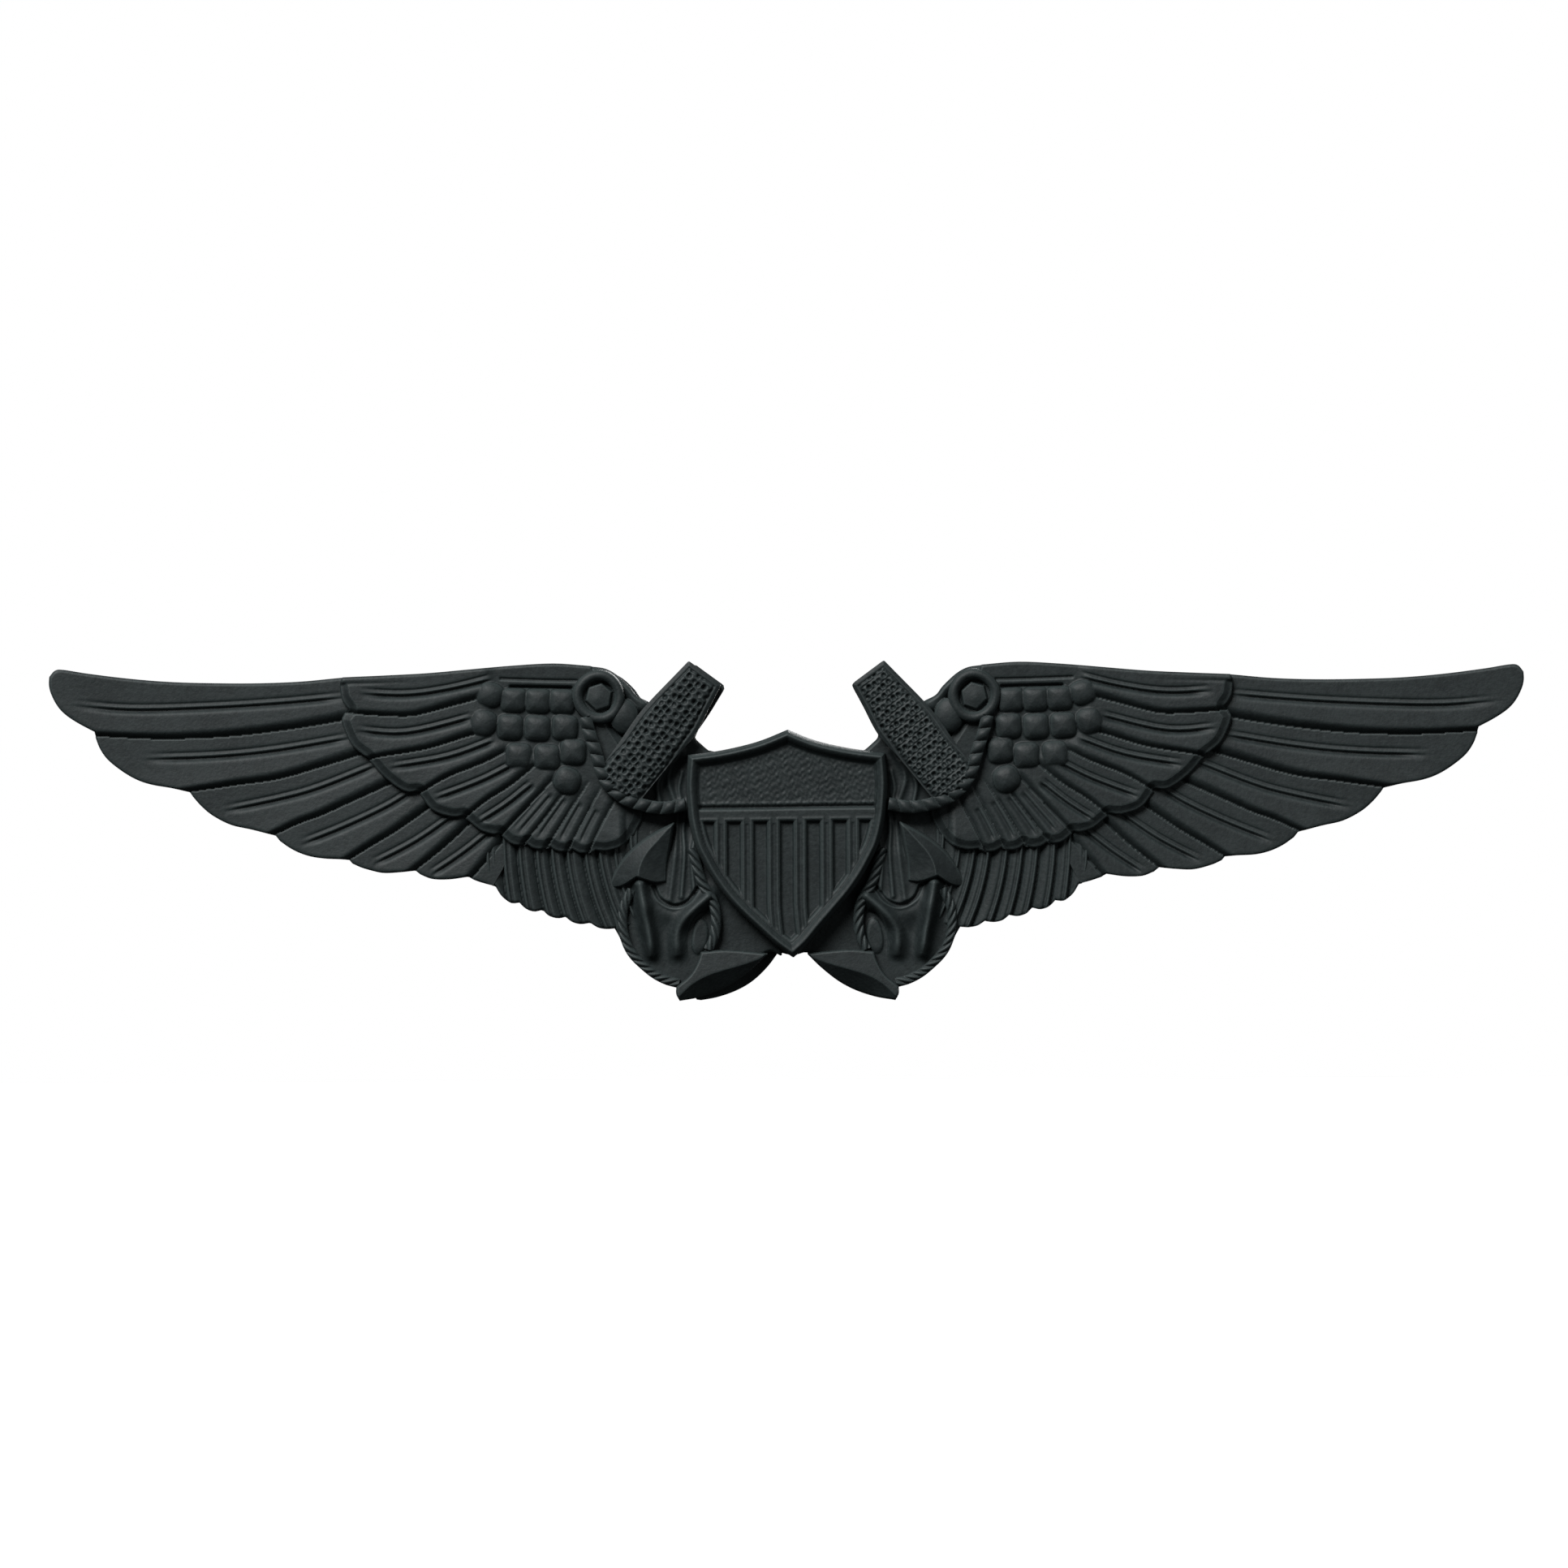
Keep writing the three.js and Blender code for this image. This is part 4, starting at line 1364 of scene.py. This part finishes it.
    def crescent(self) -> Shell:
        """The crescent fluke: a gentle upper facet and a steep lower one that meet on a curved ridge."""
        ridge = Line.through(self.CRESCENT_RIDGE)

        def height(x: np.ndarray, z: np.ndarray, inset: np.ndarray) -> np.ndarray:
            """Steep below the ridge and gentle above it, less a round at the edge."""
            found = ridge.locate(x, z)
            fall = np.where(found.offset > 0, self.crescent_gentle, self.crescent_steep) * found.distance
            return self.crescent_top - fall - 0.16 * rolled(inset, 0.1)

        return Relief(Line.through(*self.CRESCENT), height, step=0.045).shell()

    def ring(self) -> Shell:
        """The ring at the end of the shank, with a small six-sided plate in it.

        Returns:
            The right-hand ring.
        """
        angle = np.linspace(0, 2 * math.pi, 72, endpoint=False)
        circle = np.stack([np.cos(angle), np.sin(angle)], 1) * self.ring_outer + np.array(self.ring_middle)
        sides = np.arange(6) * math.pi / 3 + 0.2
        thick = self.ring_outer - self.ring_inner

        def height(x: np.ndarray, z: np.ndarray, inset: np.ndarray) -> np.ndarray:
            """A half-round band and, inside it, the plate, whose facets fall from an off-centre peak."""
            dx, dz = x - self.ring_middle[0], z - self.ring_middle[1]
            band = 1 - 2 * inset / thick
            across = np.max([dx * math.cos(turn) + dz * math.sin(turn) for turn in sides], axis=0)
            plate = self.plate_rise * smooth((self.plate_half - across) / 0.14)
            plate = plate - 0.16 * np.hypot(dx - 0.1, dz + 0.12)
            rise = self.ring_rise * np.sqrt(np.clip(1 - band**2, 0, 1))
            return self.ring_base + np.where(np.abs(band) < 1, rise, plate)

        return Relief(Line(circle), height, step=0.035).shell()

    def build(self, side: Side, knurl: Knurl, finishes: Finishes) -> None:
        """Make this anchor's pieces.

        Args:
            side: which half of the badge it is on.
            knurl: how its stock's grip is cut.
            finishes: the finishes.
        """
        made = {
            "anchor_stock": self.stock(knurl),
            "anchor_palm": self.palm(),
            "anchor_crescent": self.crescent(),
            "anchor_ring": self.ring(),
            "rope_outer": Rope(self.OUTER_ROPE, base=1.28).shell(),
            "rope_inner": Rope(self.INNER_ROPE, base=1.4, half=0.24, swell=0.3, pitch=0.52).shell(),
            "strap": Rope(
                self.STRAP, base=1.9, half=0.3, swell=0.3, pitch=0.62, slant=0.2, cut=0.75, fullness=0.5
            ).shell(),
        }
        for name, shell in made.items():
            put_struck(f"{name}_{side.name.lower()}", shell.on(side), finishes.black)


@dataclass(frozen=True)
class Ground:
    """What lies behind the shield and the anchors: the anchors' arms, folds and the low ground between."""

    level: float = 1.12
    edge: float = 0.16
    edge_width: float = 0.18

    HALF = [
        [(0, 4.5), (3.0, 4.36), (3.7, 4.42)], [(3.7, 4.42), (4.0, 4.68), (4.3, 5.02), (4.22, 5.4)],
        [(4.22, 5.4), (5.4, 5.4), (5.9, 6.0), (6.4, 6.72)],
        [(6.4, 6.72), (6.95, 7.0), (7.3, 7.45), (7.9, 8.0), (8.5, 8.3), (9.2, 8.4)],
        [(9.2, 8.4), (10.0, 6.0), (9.6, 3.0), (8.9, 0.5), (8.6, -2.0), (8.2, -3.95)],
        [(8.2, -3.95), (7.95, -4.4), (7.72, -4.95), (7.3, -5.5), (6.85, -5.95), (6.3, -6.28), (5.75, -6.5),
         (4.85, -6.8)],
        [(4.85, -6.8), (4.0, -6.7), (2.6, -6.3), (1.4, -5.6), (0.6, -5.1), (0, -5.3)],
    ]
    BROAD_ARM = [(6.95, -1.9), (6.75, -3.2), (6.5, -4.2), (6.3, -5.2)]
    SHORT_ARM = [(3.75, -2.5), (4.5, -3.2), (5.05, -4.1), (4.95, -5.2)]
    SADDLE = [(3.7, -2.45), (4.6, -3.15), (5.6, -3.3), (6.4, -2.9)]
    POCKET = [(6.3, -2.0), (6.0, -2.6), (5.35, -2.92), (4.7, -2.7), (4.25, -2.1)]
    SHANK = [(6.75, 6.6), (7.3, 7.3), (8.1, 7.9), (9.3, 8.15)]
    KNUCKLE: Point = (7.6, 6.0)
    LENS: Point = (3.98, -4.4)
    # Each fold's line, then its width and its height.
    FOLDS = [
        ([(4.7, 2.0), (4.9, 0.8), (4.85, -0.5), (5.0, -2.5)], 0.11, 0.15),
        ([(5.1, 2.0), (5.2, 0.7), (5.3, -0.6), (5.55, -2.6)], 0.15, 0.11),
        ([(4.3, 0.6), (4.5, -0.7), (4.4, -2.2)], 0.1, 0.13),
        ([(5.0, 4.4), (5.6, 3.2), (5.3, 2.0)], 0.16, 0.14),
        ([(5.5, 3.9), (6.1, 2.9), (6.0, 1.9)], 0.13, 0.16),
        ([(4.95, 3.4), (5.1, 2.6), (4.95, 1.9)], 0.1, 0.1),
    ]

    def height(self, x: np.ndarray, z: np.ndarray, inset: np.ndarray) -> np.ndarray:
        """The level ground with the arms and folds added, then the shank's end laid over it.

        Args:
            x: first coordinate.
            z: second coordinate.
            inset: how far inside the outline.

        Returns:
            The height.
        """
        out = self.level + self._arms(x, z) + self._pocket(x, z)
        for fold, width, tall in self.FOLDS:
            out = out + tall * self._near(fold, width, x, z)
        out = self._shank(out, x, z)
        return out - self.edge * rolled(inset, self.edge_width)

    @staticmethod
    def _near(points: list[Point], width: float, x: np.ndarray, z: np.ndarray) -> np.ndarray:
        """A bell of this width about a line."""
        return bell(Line.through(points).locate(x, z, 4 * width).distance / width)

    def _arms(self, x: np.ndarray, z: np.ndarray) -> np.ndarray:
        """The anchor's broad and short arms with the saddle between them, and the lens in its groove."""
        ridges = ((self.BROAD_ARM, 0.34, 0.74), (self.SHORT_ARM, 0.34, 0.5), (self.SADDLE, 0.5, 0.22))
        body = sum(tall * self._near(points, width, x, z) for points, width, tall in ridges)
        away = np.hypot((x - self.LENS[0]) / 0.5, (z - self.LENS[1]) / 1.05)
        lens = 0.14 * smooth((1 - away) / 0.5) - 0.38 * bell((away - 1) / 0.14)
        return body * smooth((z + 6.0) / 1.3) + lens

    def _pocket(self, x: np.ndarray, z: np.ndarray) -> np.ndarray:
        """The cloth that hangs into the pocket between the arms, and the pocket's thin lip."""
        lip = Line.through(self.POCKET).locate(x, z, 4)
        hangs = smooth(-lip.offset / 0.14) * (x < 6.5) * (x > 4.1)
        cloth = hangs * smooth((z + 3.1) / 0.2) * smooth((0.9 - z) / 1.6)
        return 0.26 * cloth + 0.07 * bell((lip.offset - 0.16) / 0.07)

    def _shank(self, ground: np.ndarray, x: np.ndarray, z: np.ndarray) -> np.ndarray:
        """Lay the half-round shank's end and its knuckle over the ground, each as an upper surface.

        Args:
            ground: the height so far.
            x: first coordinate.
            z: second coordinate.

        Returns:
            The height with both on it.
        """
        bar = Line.through(self.SHANK).locate(x, z, 1.0)
        half_round = np.sqrt(np.clip(1 - (bar.distance / 0.45) ** 2, 0, 1))
        out = np.maximum(ground, self.level + 0.5 * half_round)
        knuckle = 1 - ((x - self.KNUCKLE[0]) / 0.75) ** 2 - ((z - self.KNUCKLE[1]) / 0.85) ** 2
        dome = self.level + 0.45 + 0.42 * np.sqrt(np.clip(knuckle, 0, 1))
        return np.where(knuckle > 0, np.maximum(out, dome), out)

    def build(self, side: Side, finishes: Finishes) -> None:
        """Make this side's half of the ground, which ends in the middle, behind the shield."""
        shell = Relief(Line.through(*self.HALF), self.height, step=0.05).shell().on(side)
        put_struck(f"anchor_ground_{side.name.lower()}", shell, finishes.black)


STATIONS: dict[str, Point] = {"left": (-12.0, 3.1), "centre": (0.0, 0.0), "right": (12.0, 3.1)}


@dataclass(frozen=True)
class BackPlate:
    """The badge's back, a little inside the face's outline: a sunk field in a border, with three pads."""

    thick: float = 0.5
    inset: float = 0.05
    sunk: float = 0.14
    border: float = 0.55
    pad: float = 2.7
    slope: float = 0.35
    unevenness: float = 0.012

    def outline(self) -> Line:
        """The badge's outline: from the shield's peak round the wing to the lowest middle, and mirrored."""
        stock = [[(4.22, 5.4), (3.06, 7.3)], Anchor.STOCK[5], *Anchor.STOCK[:2], [(4.62, 8.5), (6.38, 6.72)]]
        crown = [Anchor.CRESCENT[1][::-1], Anchor.CRESCENT[0][::-1], [(0.65, -5.16), (0, -5.34)]]
        upper = [Shield.TOP[:3] + [(3.7, 4.42)], Ground.HALF[1], *stock, Ground.HALF[3], Wing.TOP]
        lower = [*Wing.TIPS, *Wing.SHORT_TIPS, Ground.HALF[5], *crown]
        return Line.through(*upper, *lower).with_mirror()

    def height(self, x: np.ndarray, z: np.ndarray, inset: np.ndarray) -> np.ndarray:
        """Level with the back at the border and on the pads, and sunk smoothly between them.

        Args:
            x: first coordinate.
            z: second coordinate.
            inset: how far inside the outline, less the shrink.

        Returns:
            The height, which is negative where the back is sunk.
        """
        far = self.pad + self.slope
        pads = [smooth((far - np.hypot(x - px, z - pz)) / self.slope) for px, pz in STATIONS.values()]
        uneven = self.unevenness * np.sin(2.1 * x + 1.4 * z) * np.sin(1.3 * x - 2.6 * z)
        field_share = smooth((inset - self.border) / self.slope) * (1 - np.max(pads, axis=0))
        return -(self.sunk + uneven) * field_share

    def build(self, finishes: Finishes) -> None:
        """Make the plate."""
        relief = Relief(self.outline(), self.height, foot=-self.thick, step=0.14, shrink=self.inset)
        put_struck("back_plate", relief.shell().turned_back(), finishes.black)


@dataclass(frozen=True)
class NailPost:
    """A nail post with its solder: a flat head against the back, a shank with a groove, and a point."""

    where: str
    head_radius: float = 1.6
    head_thick: float = 0.4
    radius: float = 0.6
    groove_radius: float = 0.45
    groove_low: float = 6.1
    groove_high: float = 6.9
    point_start: float = 7.6
    length: float = 9.0
    solder_radius: float = 2.12
    solder_height: float = 0.33
    unevenness: float = 0.012
    sunk: float = 0.1

    def nail(self) -> Shell:
        """The post, turned, with small rounds on all its edges."""
        corners = [
            (0.05, -self.sunk), (self.head_radius, -self.sunk), (self.head_radius, self.head_thick),
            (self.radius + 0.22, self.head_thick), (self.radius, self.head_thick + 0.25),
            (self.radius, self.groove_low), (self.groove_radius, self.groove_low + 0.2),
            (self.groove_radius, self.groove_high - 0.2), (self.radius, self.groove_high),
            (self.radius, self.point_start), (0.12, self.length - 0.06), (0.02, self.length),
        ]
        return turned(softened(corners, 0.1, ring=False), STATIONS[self.where], ring=False)

    def solder(self) -> Shell:
        """The ring of solder: a hollow fillet from the back up to the head's edge, a little uneven."""
        inner, low = self.head_radius - 0.06, -self.sunk
        drop = rounded([(self.solder_radius, 0.02), (1.86, 0.11), (1.7, self.solder_height)], 6)
        foot, top = [(inner, low), (self.solder_radius, low)], [(inner, self.solder_height)]
        corners = foot + [tuple(point) for point in drop] + top
        profile = softened(corners, 0.03, ring=True, steps=2)
        return turned(profile, STATIONS[self.where], ring=True, wobble=self.unevenness)

    def build(self, finishes: Finishes) -> None:
        """Make the post and its solder."""
        where = self.where
        put(f"nail_{where}", self.nail(), "badge", finishes.black, f"post_{where}")
        put(f"solder_bead_{where}", self.solder(), "badge", finishes.solder, f"post_solder_{where}")


@dataclass(frozen=True)
class Clutch:
    """A squeeze clutch: a turned base, a bent cover, two levers with ribbed ears, and a hairpin spring."""

    where: str
    stand: float = 2.6
    edge: float = 4.8
    hole: float = 0.85
    mouth: float = 1.5
    sheet: float = 0.35
    stamp: float = 0.09
    rim_height: float = 1.0
    rim_wall: float = 0.4
    spring_wire: float = 0.2
    spring_height: float = 2.9
    spring_leg: float = 1.7
    spring_end: float = 1.9
    bow_start: float = -0.5
    ear_foot: Point = (2.5, 2.5)
    ear_top: Point = (4.3, 5.1)
    rib_half: float = 1.25
    rib_radius: float = 0.11
    bend_radius: float = 0.07

    # How far up an ear each of its ribs is.
    RIB_SHARES = (0.45, 0.65, 0.85)

    def base(self) -> Shell:
        """The base: a disc with a flared hole, a stamped ring and a turned-up, rolled rim."""
        edge, wall, top = self.edge, self.edge - self.rim_wall, self.rim_height
        flat, stamped = self.sheet, self.sheet - self.stamp
        under = [(self.hole, 0.4), (self.mouth, 0), (edge - 0.5, 0), (edge - 0.1, 0.2), (edge, 0.6)]
        rim = [(edge - 0.06, top), (wall + 0.04, top), (wall - 0.02, 0.75), (wall - 0.15, flat)]
        ring = [(4.05, flat), (3.98, stamped), (3.82, stamped), (3.75, flat)]
        flare = [(self.mouth + 0.25, flat), (self.hole + 0.25, 0.6), (self.hole, 0.6)]
        corners = under + rim + ring + flare
        profile = softened(corners, 0.12, ring=True) + np.array([0, self.stand])
        return turned(profile, STATIONS[self.where], ring=True, sides=96)

    def spring(self) -> Shell:
        """The spring: two straight legs joined by a half circle, as a wire."""
        turn = np.linspace(0, math.pi, 33)
        x = np.r_[self.spring_leg, self.spring_leg * np.cos(turn), -self.spring_leg]
        z = np.r_[self.spring_end, self.bow_start - self.spring_leg * np.sin(turn), self.spring_end]
        middle = STATIONS[self.where]
        path = np.stack([x + middle[0], np.full(x.shape, self.stand + self.spring_height), z + middle[1]], 1)
        return tube(path, self.spring_wire, 16)

    def ribs(self, side: Side) -> Shell:
        """Three raised ribs across the outside of an ear, to be squeezed between finger and thumb.

        Args:
            side: which of the clutch's two ears.

        Returns:
            The three ribs as one shell.
        """
        foot, top = np.array(self.ear_foot), np.array(self.ear_top)
        middle = STATIONS[self.where]
        z = middle[1] + np.linspace(-self.rib_half, self.rib_half, 5)
        bars = []
        for share in self.RIB_SHARES:
            out, y = foot + (top - foot) * share
            x = out * side.value + middle[0]
            path = np.stack([np.full(5, x), np.full(5, y + self.stand), z], 1)
            bars.append(tube(path, self.rib_radius, 12))
        return bars[0].joined(bars[1]).joined(bars[2])

    def bent(self, name: str, node: str, body: str, finish: bpy.types.Material) -> None:
        """Make a bent sheet piece from a copy of its CAD node, joined up, with its edges rounded.

        Args:
            name: the piece's name.
            node: the CAD node.
            body: the CAD body that it rides on.
            finish: its material.
        """
        source = frame["nodes"][node]
        mesh = source.data.copy()
        mesh.name = name
        mesh.transform(source.matrix_world)
        work = bmesh.new()
        work.from_mesh(mesh)
        bmesh.ops.remove_doubles(work, verts=work.verts, dist=0.002 * MM)
        bmesh.ops.dissolve_limit(work, angle_limit=math.radians(1), verts=work.verts, edges=work.edges)
        work.to_mesh(mesh)
        work.free()
        mesh.shade_flat()
        mesh.materials.clear()
        mesh.materials.append(finish)
        piece = bpy.data.objects.new(name, mesh)
        bevel = piece.modifiers.new("rounded edges", "BEVEL")
        bevel.width = self.bend_radius * MM
        bevel.segments = 3
        bevel.limit_method = "ANGLE"
        bevel.angle_limit = math.radians(35)
        hand_over(piece, body, node)

    def build(self, finishes: Finishes) -> None:
        """Make the clutch's pieces."""
        where, brass = self.where, finishes.brass
        body, spring = f"clutch_{where}", f"clutch_spring_{where}"
        put(f"base_disc_{where}", self.base(), body, brass, f"clutch_base_{where}")
        put(f"spring_wire_{where}", self.spring(), body, finishes.steel, spring)
        self.bent(f"cover_sheet_{where}", f"clutch_cover_{where}", body, brass)
        for letter, side in (("a", Side.RIGHT), ("b", Side.LEFT)):
            lever, node = f"lever_{letter}_{where}", f"clutch_lever_{letter}_{where}"
            self.bent(f"ear_sheet_{letter}_{where}", node, lever, brass)
            put(f"ear_ribs_{letter}_{where}", self.ribs(side), lever, brass, node)


# ------------------------------------------------------------ studio


@dataclass(frozen=True)
class Studio:
    """Camera, lights, floor and the pale surroundings.

    The frame's width, the middle, the distance and the floor's height are in millimetres; the floor's half
    width is in metres.
    """

    frame_width: float = 74.36
    middle_x: float = -0.13
    middle_z: float = 2.85
    distance: float = 450.0
    sensor: float = 36.0
    roll_degrees: float = 0.22
    floor_z: float = -30.0
    floor_half: float = 0.6
    floor_glow: float = 0.55
    fill_strength: float = 0.035

    def camera(self) -> None:
        """A long lens, straight in front of the face, rolled a fraction of a degree."""
        data = bpy.data.cameras.new("camera")
        data.sensor_width = self.sensor
        data.lens = self.sensor * self.distance / self.frame_width
        data.clip_start = 0.01
        data.clip_end = 10
        camera = bpy.data.objects.new("camera", data)
        camera.location = (self.middle_x * MM, -self.distance * MM, self.middle_z * MM)
        camera.rotation_euler = (math.pi / 2, math.radians(self.roll_degrees), 0)
        bpy.context.scene.collection.objects.link(camera)
        bpy.context.scene.camera = camera

    def lamp(self, name: str, place: tuple[float, float, float], size: float, power: float) -> None:
        """A square soft light that points at the badge.

        Args:
            name: the light's name.
            place: where it is, in metres.
            size: its side, in metres.
            power: its power in watts.
        """
        data = bpy.data.lights.new(name, "AREA")
        data.size = size
        data.energy = power
        lamp = bpy.data.objects.new(name, data)
        lamp.location = place
        toward = -np.array(place) / np.linalg.norm(place)
        lamp.rotation_euler = (math.acos(-toward[2]), 0, math.atan2(toward[1], toward[0]) - math.pi / 2)
        bpy.context.scene.collection.objects.link(lamp)

    def floor(self) -> None:
        """A plain pale floor, which the badge neither reflects nor gets light from."""
        mesh = bpy.data.meshes.new("floor")
        half, z = self.floor_half, self.floor_z * MM
        corners = [(-half, -half, z), (half, -half, z), (half, half, z), (-half, half, z)]
        mesh.from_pydata(corners, [], [(0, 1, 2, 3)])
        graph = Graph("pale_floor")
        tone = graph.noise(0.02, 2)
        colour = graph.blend(tone, (0.86, 0.86, 0.86, 1), (0.9, 0.9, 0.9, 1))
        glow = {"Emission Color": (1.0, 1.0, 1.0, 1), "Emission Strength": self.floor_glow}
        mesh.materials.append(graph.surface({"Base Color": colour, "Roughness": 0.9, **glow}))
        floor = bpy.data.objects.new("floor", mesh)
        floor.visible_glossy = False
        floor.visible_diffuse = False
        bpy.context.scene.collection.objects.link(floor)

    def surroundings(self) -> None:
        """White where the camera looks past the badge, and a dim even fill on the badge itself."""
        world = bpy.data.worlds.new("surroundings")
        bpy.context.scene.world = world
        world.use_nodes = True
        tree = world.node_tree
        tree.nodes.clear()
        path = tree.nodes.new("ShaderNodeLightPath")
        fill, seen = tree.nodes.new("ShaderNodeBackground"), tree.nodes.new("ShaderNodeBackground")
        fill.inputs["Color"].default_value = (0.93, 0.97, 1.0, 1)
        fill.inputs["Strength"].default_value = self.fill_strength
        seen.inputs["Color"].default_value = (1, 1, 1, 1)
        seen.inputs["Strength"].default_value = 1.0
        both, out = tree.nodes.new("ShaderNodeMixShader"), tree.nodes.new("ShaderNodeOutputWorld")
        tree.links.new(path.outputs["Is Camera Ray"], both.inputs["Fac"])
        tree.links.new(fill.outputs[0], both.inputs[1])
        tree.links.new(seen.outputs[0], both.inputs[2])
        tree.links.new(both.outputs[0], out.inputs["Surface"])

    def build(self) -> None:
        """Set the whole studio up."""
        bpy.context.scene.view_settings.view_transform = "Standard"
        self.camera()
        self.surroundings()
        self.floor()
        self.lamp("key", (-0.26, -0.49, 0.51), 0.36, 7.0)
        self.lamp("fill", (0.5, -0.5, 0.15), 0.5, 0.4)
        self.lamp("behind", (0.3, 0.62, 0.22), 0.5, 9.0)


def dress_frame(finishes: Finishes) -> None:
    """Give each CAD node that stays in sight its finish, by its slot in the record."""
    by_slot = {
        "black_finish": finishes.black,
        "solder": finishes.solder,
        "brass": finishes.brass,
        "spring_steel": finishes.steel,
    }
    for part in frame["record"]["subparts"]:
        node = frame["nodes"][part["node"]]
        node.data.materials.clear()
        node.data.materials.append(by_slot[part["material_slot"]])


def main() -> None:
    """Build the badge from the back to the front, then the studio."""
    logging.basicConfig(level=logging.INFO, format="%(name)s: %(message)s")
    finishes = Finishes()
    dress_frame(finishes)
    BackPlate().build(finishes)
    for side, knurl in ((Side.LEFT, Knurl.PITTED), (Side.RIGHT, Knurl.ROWS)):
        Ground().build(side, finishes)
        Wing().build(side, finishes)
        Anchor().build(side, knurl, finishes)
    Shield().build(finishes)
    for where in STATIONS:
        NailPost(where).build(finishes)
        Clutch(where).build(finishes)
    Studio().build()


if __name__ == "__main__":
    main()
